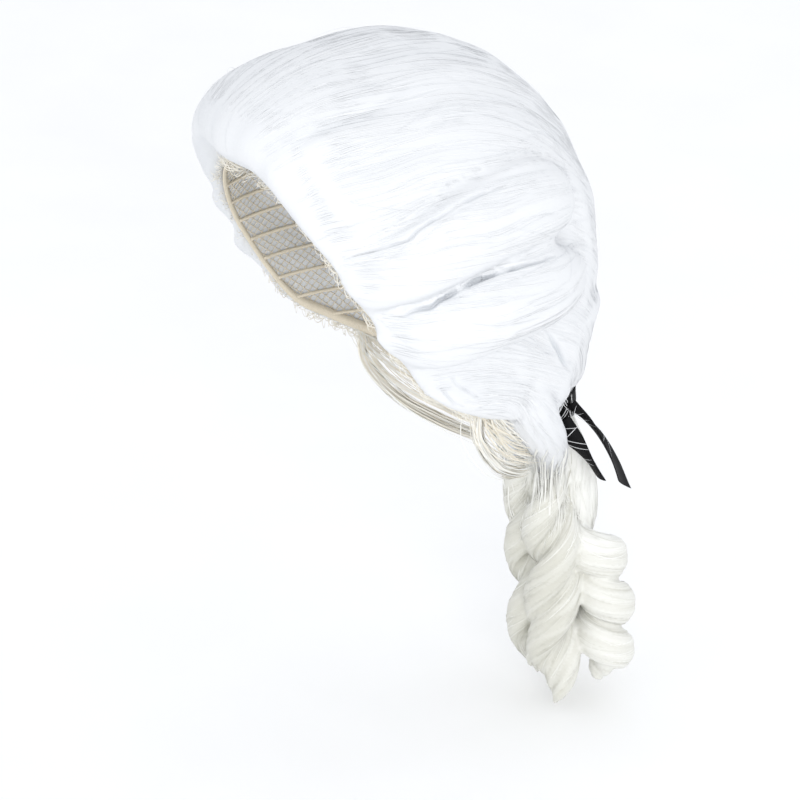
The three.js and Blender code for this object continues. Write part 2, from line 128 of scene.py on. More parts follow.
NECK = {
    "z": (-205.8, -216, -235, -260, -285, -305),
    "half_width": (19, 19, 19, 18, 15, 10),
    "front": (88, 89, 96, 104, 105, 110),
    "back": (120, 122, 130, 139, 141, 136),
}
NECK_MIDDLE = 118.0

SIDEWAYS = np.array((1.0, 0.0, 0.0))
SIDES = (("left", 1), ("right", -1))


def linear(code):
    """Linear colour of an sRGB hex value."""
    parts = [int(code[i : i + 2], 16) / 255 for i in (1, 3, 5)]
    return tuple(p / 12.92 if p <= 0.04045 else ((p + 0.055) / 1.055) ** 2.4 for p in parts)


def length_setting(name, description, size):
    return bpy.props.FloatProperty(name=name, description=description, default=size * MM, unit="LENGTH")


def count_setting(name, description, count):
    return bpy.props.IntProperty(name=name, description=description, default=count, min=10)


def colour_setting(name, description, code):
    return bpy.props.FloatVectorProperty(
        name=name, description=description, subtype="COLOR", size=3, default=linear(code)
    )


class WigSizes(bpy.types.PropertyGroup):
    """Sizes of the dressing that a user would change."""

    voxel: length_setting("Hair mass cell", "Cell of the mesh under the strands", 1.7)
    comb_depth: length_setting("Comb groove", "Depth of the grooves between combed locks", 0.8)
    strand_width: length_setting("Strand width", "Width of one tuft of fibres", 0.65)
    crown_strands: count_setting("Crown strands", "Tufts laid over each half of the crown", 1300)
    roll_strands: count_setting("Roll strands", "Tufts along the rolled curls of each side", 600)
    tail_strands: count_setting("Tail strands", "Tufts along the ringlets of the tail", 1250)
    net_cell: length_setting("Net cell", "Half the width of one diamond of the cap's net", 2.2)


class WigColours(bpy.types.PropertyGroup):
    """Colours of the dressing that a user would change."""

    # The hair's lit colour and its shade colour are the ends of its tone: painted light on outer hair and
    # lock crests, painted shade in creases, dips, grooves and inward hair
    hair: colour_setting("Hair", "White fibre in the light", "#E8E9EB")
    hair_shade: colour_setting("Hair shade", "White fibre deep between the locks", "#D3D6DA")
    # The tail's warm colours are the ends of its tone: the shade colour is painted shade, tinted cream, in
    # grooves and on the side towards the wearer's neck
    hair_warm: colour_setting("Warm hair", "Creamy fibre in the tail", "#EFEFEB")
    hair_warm_shade: colour_setting("Warm hair shade", "Creamy fibre deep in the tail", "#CFCEC4")
    # The nape colour is partly the cream of roots and underside hair, partly painted shade of the hair
    # under the nape and at the hairline
    hair_nape: colour_setting("Nape hair", "Cream fibre under the nape and at the hairline", "#EDE6D6")
    net: colour_setting("Net", "Cream net of the cap", "#E9DFCB")
    satin: colour_setting("Satin", "Black satin of the ribbon", "#0A0A0C")


def sizes():
    return bpy.context.scene.wig_sizes


def colours():
    return bpy.context.scene.wig_colours


def add_node(tree, kind, settings=None, links=None):
    """One node with its settings and the outputs that feed its sockets."""
    node = tree.nodes.new(kind)
    for key, value in (settings or {}).items():
        if isinstance(key, str) and hasattr(node, key):
            setattr(node, key, value)
        else:
            node.inputs[key].default_value = value
    for socket, output in (links or {}).items():
        tree.links.new(output, node.inputs[socket])
    return node


def new_material(name, looks):
    """A material whose shader has the given looks, ready for nodes."""
    material = bpy.data.materials.new(name)
    material.use_nodes = True
    shader = material.node_tree.nodes["Principled BSDF"]
    for key, value in looks.items():
        shader.inputs[key].default_value = value
    return material, material.node_tree, shader


def noise_of(tree, vector, settings):
    """Noise over a vector."""
    return add_node(tree, "ShaderNodeTexNoise", settings, {"Vector": vector}).outputs["Fac"]


def sum_of(tree, value, share, other):
    """A share of one value added to another value."""
    settings = {"operation": "MULTIPLY_ADD", 1: share}
    return add_node(tree, "ShaderNodeMath", settings, {0: value, 2: other}).outputs["Value"]


def shade_by(tree, shader, value, shades, stops=(0, 1)):
    """Colours the shader by a value, from one shade to another between two stops."""
    ramp = add_node(tree, "ShaderNodeValToRGB", None, {"Fac": value})
    for element, shade, stop in zip(ramp.color_ramp.elements, shades, stops):
        element.position = stop
        element.color = (*shade, 1)
    tree.links.new(ramp.outputs["Color"], shader.inputs["Base Color"])


def bump_by(tree, shader, height, strength, depth):
    """Bumps the shader by a height, to a depth in mm."""
    settings = {"Strength": strength, "Distance": depth * MM}
    bump = add_node(tree, "ShaderNodeBump", settings, {"Height": height})
    tree.links.new(bump.outputs["Normal"], shader.inputs["Normal"])


# How much tufts shift the tone of the hair, and the tones of full painted shade and full painted light
TUFT_SHARE, HAIR_STOPS = 0.16, (0.15, 0.75)


def hair_material(name, light, shade):
    """Modacrylic fibre, drawn and combed: white, softly glossy, in tufts that differ a little in shade."""
    material, tree, shader = new_material(name, {"Roughness": 0.5, "IOR": 1.5})
    # The tone that a mesh stores carries its painted shade and light, besides the random tone of its tufts
    tone = add_node(tree, "ShaderNodeAttribute", {"attribute_name": "tone"})
    flow = add_node(tree, "ShaderNodeAttribute", {"attribute_name": "flow"})
    # Tufts of about 0.7 mm across that run on for about 30 mm, drawn coarser than fibre so that they show
    fibre = noise_of(tree, flow.outputs["Vector"], {"Scale": 1.0, "Detail": 3.0, "Roughness": 0.6})
    mixed = sum_of(tree, fibre, TUFT_SHARE, tone.outputs["Fac"])
    shade_by(tree, shader, mixed, (shade, light), HAIR_STOPS)
    bump_by(tree, shader, fibre, strength=0.06, depth=0.2)
    return material


# Stained net as a share of clean net, the part of stain beside twist, and where both show in full
NET_STAINED, STAIN_SHARE, NET_STOPS = 0.86, 0.5, (0.45, 0.95)


def net_material():
    """Knotted cotton net and tape: matt, cream, with the twist of its thread."""
    material, tree, shader = new_material("cotton_net", {"Roughness": 0.9})
    place = add_node(tree, "ShaderNodeTexCoord").outputs["Object"]
    # Thread twist of about 0.6 mm and stains of about 20 mm
    twist = noise_of(tree, place, {"Scale": 1600.0, "Detail": 2.0})
    stain = noise_of(tree, place, {"Scale": 50.0, "Detail": 2.0})
    clean = colours().net
    stained = [part * NET_STAINED for part in clean]
    shade_by(tree, shader, sum_of(tree, stain, STAIN_SHARE, twist), (stained, clean), NET_STOPS)
    bump_by(tree, shader, twist, strength=0.4, depth=0.2)
    return material


# Satin between its ribs and on them, as shares of its colour
SATIN_SHARES = (0.6, 1.5)


def satin_material():
    """Polyester satin ribbon: deep black, a soft shine across the weave, with fine ribs along it."""
    looks = {"Roughness": 0.55, "Specular IOR Level": 0.14}
    material, tree, shader = new_material("polyester_satin", looks)
    place = add_node(tree, "ShaderNodeUVMap").outputs["UV"]
    # Ribs 0.5 mm apart, coarser than real floats so that they show
    wave = {"bands_direction": "Y", "Scale": 310.0, "Distortion": 0.6, "Detail": 1.0}
    ribs = add_node(tree, "ShaderNodeTexWave", wave, {"Vector": place}).outputs["Fac"]
    shade_by(tree, shader, ribs, [[part * share for part in colours().satin] for share in SATIN_SHARES])
    bump_by(tree, shader, ribs, strength=0.12, depth=0.1)
    return material


MATERIAL_MAKERS = {
    # Each hair finish runs by tone from its shade colour, which is painted shade, to its lit colour, which
    # is painted light
    "hair": lambda: hair_material("modacrylic_hair", colours().hair, colours().hair_shade),
    "warm": lambda: hair_material("modacrylic_hair_warm", colours().hair_warm, colours().hair_warm_shade),
    "nape": lambda: hair_material("modacrylic_hair_nape", colours().hair_warm, colours().hair_nape),
    "net": net_material,
    "satin": satin_material,
}
made_materials = {}


def finish(kind):
    """The material of a finish, made once."""
    if kind not in made_materials:
        made_materials[kind] = MATERIAL_MAKERS[kind]()
    return made_materials[kind]


def course(places, values):
    """Smooth course of table values along their places."""
    places, values = np.asarray(places, float), np.asarray(values, float)
    slopes = np.gradient(values, places, axis=0)

    def at(place):
        place = np.clip(place, places[0], places[-1])
        i = np.clip(np.searchsorted(places, place) - 1, 0, len(places) - 2)
        h = places[i + 1] - places[i]
        t = (place - places[i]) / h
        shape = (*h.shape, *[1] * (values.ndim - 1))
        h, t = h.reshape(shape), t.reshape(shape)
        rise = values[i + 1] - values[i]
        bend = h * (slopes[i] + slopes[i + 1]) - 2 * rise
        return values[i] + t * (h * slopes[i] + t * (rise - h * slopes[i] - bend + t * bend))

    return at


def unit(vectors):
    return vectors / np.maximum(np.linalg.norm(vectors, axis=-1, keepdims=True), 1e-12)


def dots(first, second):
    return np.einsum("ij,ij->i", first, second)


def square_to(ways, axes):
    """Directions made square to axes."""
    return unit(ways - axes * dots(ways, axes)[:, None])


def blended(first, second, share):
    """Rows that give way to second rows by a share."""
    return first * (1 - share)[:, None] + second * share[:, None]


def run_of(line):
    """Length of a line up to each of its points."""
    steps = np.diff(line, axis=-2, prepend=line[..., :1, :])
    return np.cumsum(np.linalg.norm(steps, axis=-1), axis=-1)


def round_angles(count):
    """Even angles round a circle."""
    return np.linspace(0, 2 * math.pi, count, endpoint=False)


def level_ways(angle):
    """Level directions at angles from the wearer's left."""
    return np.stack([np.cos(angle), np.sin(angle), 0 * angle], axis=-1)


def smoothstep(x, low, high):
    t = np.clip((x - low) / (high - low), 0, 1)
    return t * t * (3 - 2 * t)


# Large numbers that scatter the corners of a noise cell, and how many values they fall on
SCATTER_SEED, SCATTER_START, SCATTER_ROUND = 7919, 17, 73856093
SCATTER_AXIS, SCATTER_AXIS_STEP = 19349663, 83492791
SCATTER_BITS, SCATTER_VALUES = 0x7FFFFFFF, 65521
# Places where each noise is read, so that no two run alike
COMB_NOISE, TAIL_NOISE, WANDER_NOISE, GATHER_NOISE, CREASE_NOISE = 30, 40, 50, 60, 70


def soft_noise(points, seed):
    """Smooth random values from 0 to 1 over points, one for each corner of a lattice."""
    points = np.asarray(points, float)
    cell = np.floor(points).astype(np.int64)
    t = points - cell
    t = t * t * (3 - 2 * t)
    total = np.zeros(points.shape[:-1])
    width = points.shape[-1]
    for corner in range(2**width):
        offset = np.array([(corner >> k) & 1 for k in range(width)])
        key = cell + offset
        mixed = np.full(points.shape[:-1], seed * SCATTER_SEED + SCATTER_START, np.int64)
        for k in range(width):
            mixed = (mixed * SCATTER_ROUND) ^ (key[..., k] * (SCATTER_AXIS + SCATTER_AXIS_STEP * k))
            mixed &= SCATTER_BITS
        value = (mixed % SCATTER_VALUES) / (SCATTER_VALUES - 1)
        total += value * np.prod(np.where(offset, t, 1 - t), axis=-1)
    return total


def ridge(x):
    """Rounded locks with narrow grooves between them, from 0 to 1."""
    return 1 - np.cos(x) ** 4


hairline_drop = course(np.radians(HAIRLINE["turn"]), HAIRLINE["drop"])
HEAD_NUDGE = math.radians(0.5)


def polar_of(drop):
    drop = np.asarray(drop, float) / HEAD_HEIGHT
    return np.where(drop <= 1, np.arccos(np.clip(1 - drop, -1, 1)), math.pi / 2 + drop - 1)


def head_point(turn, polar):
    """Place on the head, in mm, from a turn from the face and a polar angle from the top."""
    below = HEAD_HEIGHT * np.maximum(polar - math.pi / 2, 0)
    reach = below / NAPE_REACH
    level = np.minimum(polar, math.pi / 2)
    breadth = HEAD_HALF_BREADTH - NAPE_BREADTH_LOSS * reach**2
    depth = np.where(np.cos(turn) > 0, HEAD_FRONT, HEAD_BACK) - NAPE_BACK_LOSS * reach**1.5
    x = breadth * np.sin(level) * np.sin(turn)
    y = -depth * np.sin(level) * np.cos(turn)
    return np.stack([x, y, -(HEAD_HEIGHT * (1 - np.cos(level)) + below)], axis=-1)


def head_frame(turn, polar):
    """Outward, hemward and sideways directions on the head."""
    hemward = unit(head_point(turn, polar + HEAD_NUDGE) - head_point(turn, polar - HEAD_NUDGE))
    sideways = unit(head_point(turn + HEAD_NUDGE, polar) - head_point(turn - HEAD_NUDGE, polar))
    return unit(np.cross(hemward, sideways)), hemward, sideways


def hem_of(turn):
    """Polar angle of the hairline at turns, which are folded onto the wearer's left."""
    turn = np.mod(turn, 2 * math.pi)
    return polar_of(hairline_drop(np.minimum(turn, 2 * math.pi - turn)))


def smooth_path(points, count):
    """Points along a smooth line through a table of places, evenly by table row."""
    rows = np.arange(len(points))
    return course(rows, points)(np.linspace(0, len(points) - 1, count))


def new_piece(name, mesh, kind, replaced=(), soft=True):
    """A finished piece: linked, coloured, riding on the wig, with soft or flat faces."""
    mesh.name = name
    piece = bpy.data.objects.new(name, mesh)
    bpy.context.scene.collection.objects.link(piece)
    mesh.materials.clear()
    mesh.materials.append(finish(kind))
    mesh.polygons.foreach_set("use_smooth", np.full(len(mesh.polygons), soft))
    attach(piece, "root")
    if replaced:
        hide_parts(*replaced)
    return piece


def new_strands(name, mesh, kind="hair", replaced=()):
    """A finished piece of strands, whose flat faces take the light like the hair under them."""
    return new_piece(name, mesh, kind, replaced, soft=False)


def mesh_of(points, faces):
    """A mesh in metres from points in mm."""
    mesh = bpy.data.meshes.new("shape")
    mesh.from_pydata((np.asarray(points) * MM).tolist(), [], faces)
    mesh.validate()
    return mesh


def set_point_values(mesh, name, values, vector=False):
    """Stores a value for each point, for the materials to read."""
    layer = mesh.attributes.new(name, "FLOAT_VECTOR" if vector else "FLOAT", "POINT")
    layer.data.foreach_set("vector" if vector else "value", np.asarray(values, np.float32).ravel())


def points_of(mesh):
    points = np.empty(len(mesh.vertices) * 3)
    mesh.vertices.foreach_get("co", points)
    return points.reshape(-1, 3) / MM


def normals_of(mesh):
    normals = np.empty(len(mesh.vertices) * 3, np.float32)
    mesh.vertex_normals.foreach_get("vector", normals)
    return normals.reshape(-1, 3).astype(float)


def set_points(mesh, points):
    mesh.vertices.foreach_set("co", (points * MM).ravel())
    mesh.update()


def tree_of(meshes):
    """Search tree over meshes, in mm."""
    points, faces, first = [], [], 0
    for mesh in meshes:
        found = points_of(mesh)
        points.extend(found.tolist())
        faces.extend([[first + v for v in polygon.vertices] for polygon in mesh.polygons])
        first += len(found)
    return BVHTree.FromPolygons(points, faces)


LEAST_WEIGHT = 0.01


def modified(mesh, *modifiers, weights=None):
    """The mesh after modifiers given as kind and settings. Weights go to the group that smoothing reads."""
    shape = bpy.data.objects.new("shape", mesh)
    bpy.context.scene.collection.objects.link(shape)
    if weights is not None:
        group = shape.vertex_groups.new(name="soft")
        for index in np.flatnonzero(weights > LEAST_WEIGHT):
            group.add([int(index)], float(weights[index]), "REPLACE")
    for kind, settings in modifiers:
        modifier = shape.modifiers.new(kind.lower(), kind)
        for key, value in settings.items():
            setattr(modifier, key, value)
    made = bpy.data.meshes.new_from_object(shape.evaluated_get(bpy.context.evaluated_depsgraph_get()))
    bpy.data.objects.remove(shape)
    return made


def hair_mass(mesh, voxel, rounds):
    """An even, softened skin over closed meshes that may run into each other."""
    return modified(
        mesh,
        ("REMESH", {"mode": "VOXEL", "voxel_size": voxel}),
        ("SMOOTH", {"factor": 0.5, "iterations": rounds}),
    )


WELD = 0.01


@contextmanager
def mesh_work(made, *meshes):
    """Work on copies of meshes, which goes into the made mesh at the end."""
    work = bmesh.new()
    for mesh in meshes:
        work.from_mesh(mesh)
    yield work
    work.to_mesh(made)
    work.free()


def node_mesh(node):
    """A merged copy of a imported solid."""
    mesh = bpy.data.meshes.new("shape")
    with mesh_work(mesh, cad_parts[node].data) as work:
        bmesh.ops.remove_doubles(work, verts=work.verts, dist=WELD * MM)
    return mesh


def tube_faces(count, sides, closed=False):
    """Faces of a tube of rings, with two capped ends, or none where the tube is closed into a loop."""
    faces = []
    rings = count if closed else count - 1
    for ring in range(rings):
        a, b = ring * sides, ((ring + 1) % count) * sides
        for side in range(sides):
            after = (side + 1) % sides
            faces.append((a + side, b + side, b + after, a + after))
    if not closed:
        faces.append(tuple(range(sides)))
        faces.append(tuple((count - 1) * sides + side for side in reversed(range(sides))))
    return faces


def faced_outward(mesh):
    """The mesh with all its faces turned outward."""
    with mesh_work(mesh, mesh) as work:
        bmesh.ops.recalc_face_normals(work, faces=work.faces)
    return mesh


def tube_mesh(rings, closed=False):
    """A tube over rings of places, with capped ends or closed into a loop."""
    count, sides = rings.shape[:2]
    return faced_outward(mesh_of(rings.reshape(-1, 3), tube_faces(count, sides, closed)))


def joined(meshes):
    """One mesh out of several, attributes kept."""
    made = bpy.data.meshes.new("joined")
    with mesh_work(made, *meshes):
        pass
    return made


def mirrored(mesh):
    """The mesh on the wearer's right."""
    made = bpy.data.meshes.new("mirrored")
    with mesh_work(made, mesh) as work:
        bmesh.ops.scale(work, vec=(-1, 1, 1), verts=work.verts)
        bmesh.ops.reverse_faces(work, faces=work.faces)
    return made


STRAND_CORNERS = 3
STRAND_FLATNESS = 0.28
# Shares of a strand over which its root and tip narrow, its narrowest share and the roundness of its ends
ROOT_SHARE, TIP_SHARE, NARROWEST, END_ROUND = 0.15, 0.25, 0.08, 0.7
# Steps of the tufts' noise from strand to strand and corner to corner, and mm of a strand to one step
FLOW_STRAND, FLOW_CORNER, FLOW_RUN = 3.7, 0.6, 30


def strand_mesh(paths, normals, half_widths, tones):
    """Many tapered strands in one mesh, each a closed three-sided rod that lies on its surface."""
    count, steps = paths.shape[:2]
    along = unit(np.gradient(paths, axis=1))
    across = unit(np.cross(along, normals))
    upward = np.cross(across, along)
    share = np.linspace(0, 1, steps)
    taper = np.minimum(share / ROOT_SHARE, (1 - share) / TIP_SHARE)
    half = half_widths[:, None, None] * (np.clip(taper, NARROWEST, 1) ** END_ROUND)[None, :, None]
    crest = paths + upward * half * STRAND_FLATNESS
    corners = np.stack([paths - across * half, paths + across * half, crest], axis=2)
    start = np.arange(count)[:, None] * steps * STRAND_CORNERS
    near = start + np.arange(steps - 1) * STRAND_CORNERS
    far = near + STRAND_CORNERS
    faces = []
    for corner in range(STRAND_CORNERS):
        after = (corner + 1) % STRAND_CORNERS
        quad = np.stack([near + corner, far + corner, far + after, near + after], axis=-1)
        faces.extend(quad.reshape(-1, 4).tolist())
    faces.extend((start + np.array((0, 1, 2))).tolist())
    faces.extend((start + (steps - 1) * STRAND_CORNERS + np.array((2, 1, 0))).tolist())
    mesh = bpy.data.meshes.new("strands")
    mesh.from_pydata((corners.reshape(-1, 3) * MM).tolist(), [], faces)
    flow = np.zeros((count, steps, STRAND_CORNERS, 3))
    flow[..., 0] = np.arange(count)[:, None, None] * FLOW_STRAND + np.arange(STRAND_CORNERS) * FLOW_CORNER
    flow[..., 1] = run_of(paths)[:, :, None] / FLOW_RUN
    set_point_values(mesh, "tone", np.repeat(tones, steps * STRAND_CORNERS))
    set_point_values(mesh, "flow", flow.reshape(-1, 3), vector=True)
    return mesh


def random_tones(rng, count, middle, spread):
    return np.clip(rng.normal(middle, spread, count), 0, 1)


TONE_SPREAD = 0.07


def random_strands(rng, paths, facings, halves, tone, spread=TONE_SPREAD):
    """Strands along paths, with half widths between two and tones spread round a middle one."""
    paths, count = np.asarray(paths), len(paths)
    half = rng.uniform(*halves, count)
    return strand_mesh(paths, np.asarray(facings), half, random_tones(rng, count, tone, spread))


class Comb:
    """Hair combed in planes through a line from face to tie: roll round the line, and swing along it."""

    def __init__(self, face, tie):
        face, tie = np.array(face, float), np.array(tie, float)
        self.heart = (face + tie) / 2
        self.axis = unit(tie - face)
        self.up = np.cross(self.axis, -SIDEWAYS)

    def place(self, points):
        """Roll, swing and distance of points."""
        out = points - self.heart
        roll = np.arctan2(out @ SIDEWAYS, out @ self.up)
        reach = np.linalg.norm(out, axis=-1)
        swing = np.arccos(np.clip(-(out @ self.axis) / np.maximum(reach, 1e-9), -1, 1))
        return roll, swing, reach

    def ways(self, points):
        """Directions in which the hair runs from face to tie."""
        roll, swing, _ = (value[:, None] for value in self.place(points))
        outward = np.cos(roll) * self.up + np.sin(roll) * SIDEWAYS
        return np.sin(swing) * self.axis + np.cos(swing) * outward


# The crown is combed from under the face to just under the tie, the rolls along the sides of the head.
CROWN_COMB = Comb((0, -85, -160), (0, 106, -226))
ROLL_COMB = Comb((0, -150, -92), (0, 160, -80))


def wandered(ways, points, normals, cell, most):
    """Ways laid on the surface and swung a little from place to place, alike for neighbours."""
    ways = square_to(ways, normals)
    swing = (most * 2 * (soft_noise(points / cell + WANDER_NOISE, 3) - 0.5))[:, None]
    return np.cos(swing) * ways + np.sin(swing) * np.cross(normals, ways)


STRIDE = 2.5
STRAND_STEPS = 15
LEAST_STRIDES = 6
# Cosine of the sharpest bend of the surface that a strand follows in one stride
SHARPEST_BEND = 0.86
SMOOTH_ROUNDS = 3
# Part of a strand ahead of its first place, its width as a share, and the roundness of its rise
AHEAD, WIDTH_SHARES, RISE_ROUND = (0.15, 0.85), (0.7, 1.25), 0.5


def evenly(rows, count):
    """Rows of a walk at even steps along its first three columns."""
    for _ in range(SMOOTH_ROUNDS):
        rows[1:-1] = (rows[:-2] + 2 * rows[1:-1] + rows[2:]) / 4
    run = run_of(rows[:, :3])
    even = np.linspace(0, run[-1], count)
    return np.stack([np.interp(even, run, column) for column in rows.T], axis=-1)


class Skin:
    """A surface of hair for strands to follow: the way it is combed, and where it shows, at each point."""

    def __init__(self, mesh, ways, shown):
        self.mesh, self.ways, self.shown = mesh, ways, shown
        self.points = points_of(mesh)
        self.tones = np.empty(len(self.points), np.float32)
        mesh.attributes["tone"].data.foreach_get("value", self.tones)
        self.tree = tree_of([mesh])
        self.corner = [polygon.vertices[0] for polygon in mesh.polygons]

    def walk(self, point, stride, length, lean):
        """Places along the comb, and the way the surface faces there, until the hair ends."""
        rows, before = [], None
        for _ in range(int(length / abs(stride)) + 1):
            place, facing, face, _ = self.tree.find_nearest(point)
            corner = self.corner[face]
            if not self.shown[corner] or before and facing.dot(before) < SHARPEST_BEND:
                break
            before = facing
            rows.append((*place, *facing))
            way = Vector(self.ways[corner])
            point = place + (way * math.cos(lean) + facing.cross(way) * math.sin(lean)) * stride
        return rows

    def strands(
        self, rng, count, where, length, lift=(-0.05, 0.25), lean=0.05, width=None, spread=TONE_SPREAD
    ):
        """Strands laid along the comb from random places of the surface."""
        rods, tones = [], []
        for seed in rng.choice(np.flatnonzero(where & self.shown), count):
            turn, reach, ahead = rng.normal(0, lean), rng.uniform(*length), rng.uniform(*AHEAD)
            start = Vector(self.points[seed])
            back = self.walk(start, -STRIDE, reach * (1 - ahead), turn)
            rows = np.array(back[:0:-1] + self.walk(start, STRIDE, reach * ahead, turn))
            if len(rows) >= LEAST_STRIDES:
                rods.append(evenly(rows, STRAND_STEPS))
                # Each strand takes the tone of the mass where it starts, with the mass's painted shade and
                # light
                tones.append(self.tones[seed])
        rods = np.array(rods)
        arch = np.sin(np.linspace(0, math.pi, STRAND_STEPS))[None, :, None] ** RISE_ROUND
        rise = arch * rng.uniform(*lift, len(rods))[:, None, None]
        half = rng.uniform(*WIDTH_SHARES, len(rods)) * (width or sizes().strand_width / MM) / 2
        facing = unit(rods[:, :, 3:])
        tones = random_tones(rng, len(rods), np.array(tones), spread)
        return strand_mesh(rods[:, :, :3] + facing * rise, facing, half, tones)


shapes = {}


def shape_of(key, make):
    """A shape that several pieces need, made once."""
    if key not in shapes:
        shapes[key] = make()
    return shapes[key]


# Rounds of smoothing for the crown, for a roll, and for both grown together
CROWN_ROUNDS, ROLL_ROUNDS, GROWN_ROUNDS = 28, 10, 3
ROLL_SWELL = 0.9


def crown_base():
    return shape_of("crown", lambda: hair_mass(node_mesh("crown_hair"), sizes().voxel, CROWN_ROUNDS))


def roll_base(name):
    """Softened mesh of one rolled curl on the wearer's left, swelled to meet its neighbours."""

    def make():
        mesh = hair_mass(node_mesh(f"side_roll_{name}_left"), sizes().voxel, ROLL_ROUNDS)
        set_points(mesh, points_of(mesh) + normals_of(mesh) * ROLL_SWELL)
        return mesh

    return shape_of(f"roll_{name}", make)


def roll_bases(name):
    return [roll_base(name), mirrored(roll_base(name))]


# Sharp creases on the wearer's left, with their half width, and their depth at each place
CREASES = (
    {
        "path": (
            (72, -58, -65), (81, -48, -60), (90, -36, -54), (92, -26, -47),
            (93, -14, -42), (93, 4, -37), (91, 24, -35),
        ),
        "depth": (0.3, 1.2, 1.8, 1.4, 1.8, 1.4, 0.3),
        "half": 1.0,
    },
    {
        "path": (
            (79, -44, -100), (86, -34, -96), (95, -21, -90), (97, -2, -82),
            (99, 15, -79), (98, 37, -78), (94, 52, -79),
        ),
        "depth": (0.2, 0.8, 3.6, 4.6, 3.8, 1.8, 0.4),
        "half": 1.0,
    },
    {
        "path": ((74, 59, -129), (69, 69, -142), (64, 77, -154), (58, 86, -166)),
        "depth": (0.3, 1.8, 2.0, 0.4),
        "half": 1.3,
    },
    {
        "path": ((83, -5, -137), (82, 0, -144), (81, 7, -150), (79, 16, -158)),
        "depth": (0.2, 1.5, 1.5, 0.2),
        "half": 0.9,
    },
    {
        "path": ((82, -10, -144), (81, -4, -152), (79, 6, -161)),
        "depth": (0.2, 1.2, 0.2),
        "half": 0.9,
    },
)
ROLL_CREASE = CREASES[1]
# Soft dips between combed locks of the crown, in the same form
DIPS = (
    {
        "path": (
            (47, -78, -13), (48, -70, -7), (48, -60, -3), (48, -47, 0),
            (49, -32, 3), (48, -17, 7), (45, -8, 10),
        ),
        "depth": (0.2, 0.9, 1.2, 1.1, 1.0, 0.7, 0.2),
        "half": 3.0,
    },
    {
        "path": ((66, -8, -5), (65, 0, -4), (64, 9, -4), (61, 22, -4)),
        "depth": (0.2, 0.9, 0.9, 0.2),
        "half": 2.0,
    },
)
# How far a crease strays from its path, over cells of this size, by noises of these seeds
CREASE_WANDER, CREASE_CELL, CREASE_SEEDS = 1.6, 6, (7, 8, 9)
CREASE_STEPS = 160
# Within this distance of a sharp crease the mesh is cut finer
CREASE_FINE, CREASE_CUTS = 3.5, 3
# Strands end where a crease is deeper than this
CREASE_BARE = 0.5
# Where the bundle between the rolls lies under its crease, and its radius
FILL_INSET, FILL_RADIUS = np.array((-6.5, 2.5, -2.0)), 5.5

# Hair of the wearer's left gathered from the lower edge of the crown into the tail, with its half widths
GATHER = {
    "path": (
        (60, 46, -158), (56, 60, -182), (46, 76, -204), (31, 90, -222), (18, 100, -239), (8, 108, -256),
    ),
    "half": ((15, 9), (15, 9), (13, 9), (11, 8), (9, 7), (5, 5)),
}
# Distance from its path and drop below the top over which hair joins the gathered bundle
GATHER_NEAR, GATHER_DROP = (10, 24), (162, 188)
# Locks to half a turn round gathered hair, their grooves, and how far they stray over cells of a size
GATHER_LOCKS, GATHER_GROOVE, GATHER_STRAY, GATHER_CELL = 5, 0.7, 2, 14
BUNDLE_STEPS, BUNDLE_SIDES = 40, 24
# The side of the head, near which bundles of hair lie flat
BUNDLE_SIDE = np.array((1.0, -0.6, 0.0))
# Distance of bundled hair from the head, to clear the cap
CAP_CLEAR = 4.0


def path_frames(path, count):
    """Places along a path, the way it runs there, and two directions across it."""
    middle = smooth_path(path, count)
    along = unit(np.gradient(middle, axis=0))
    first = unit(np.cross(along, BUNDLE_SIDE))
    return middle, along, first, np.cross(along, first)


def clear_of_head(points):
    """Points that lie in the head or its cap, moved straight out of them."""
    polar = polar_of(-points[:, 2])
    sides = head_point(math.pi / 2, polar)[:, 0]
    deep = np.where(points[:, 1] < 0, head_point(0.0, polar)[:, 1], head_point(math.pi, polar)[:, 1])
    share = np.hypot(points[:, 0] / sides, points[:, 1] / deep)
    out = np.maximum(1, (1 + CAP_CLEAR / HEAD_HALF_BREADTH) / share)
    return points * np.column_stack([out, out, np.ones(len(out))])


def bundle(path, half):
    """A bundle of hair along a path, with half widths across and through it, and its mirror image."""
    middle, _, first, second = path_frames(path, BUNDLE_STEPS)
    across, through = smooth_path(half, BUNDLE_STEPS).T[..., None]
    angle = round_angles(BUNDLE_SIDES)[None, :, None]
    ring = np.cos(angle) * (across * first)[:, None] + np.sin(angle) * (through * second)[:, None]
    rings = middle[:, None] + ring
    left = tube_mesh(clear_of_head(rings.reshape(-1, 3)).reshape(rings.shape))
    return [left, mirrored(left)]


def crease_fills():
    """Bundles of hair that close the deep gap between the rolls of each side."""
    path = np.array(ROLL_CREASE["path"][1:]) + FILL_INSET
    return bundle(path, np.full((len(path), 2), FILL_RADIUS))


def on_left(points):
    """Points folded onto the wearer's left."""
    return np.column_stack([np.abs(points[:, 0]), points[:, 1:]])


def place_tree(places):
    """Search tree over single places, known by their order."""
    tree = KDTree(len(places))
    for index, place in enumerate(places):
        tree.insert(place, index)
    tree.balance()
    return tree


def line_run(points, path):
    """Nearest step of a path on the wearer's left, and the distance to it, for points of the hair."""
    tree = place_tree(smooth_path(path, CREASE_STEPS))
    found = [tree.find(point)[1:] for point in on_left(points)]
    return [np.array(column) for column in zip(*found)]


def crease_depth(points, creases):
    """Depth of the ragged creases at points of the hair."""
    cells = points / CREASE_CELL + CREASE_NOISE
    stray = np.stack([soft_noise(cells, seed) - 0.5 for seed in CREASE_SEEDS], axis=-1)
    strayed = points + CREASE_WANDER * stray
    deep = np.zeros(len(points))
    for crease in creases:
        depth = smooth_path(np.array(crease["depth"])[:, None], CREASE_STEPS)[:, 0]
        step, far = line_run(strayed, crease["path"])
        deep = np.maximum(deep, depth[step] * np.exp(-((far / crease["half"]) ** 2)))
    return deep


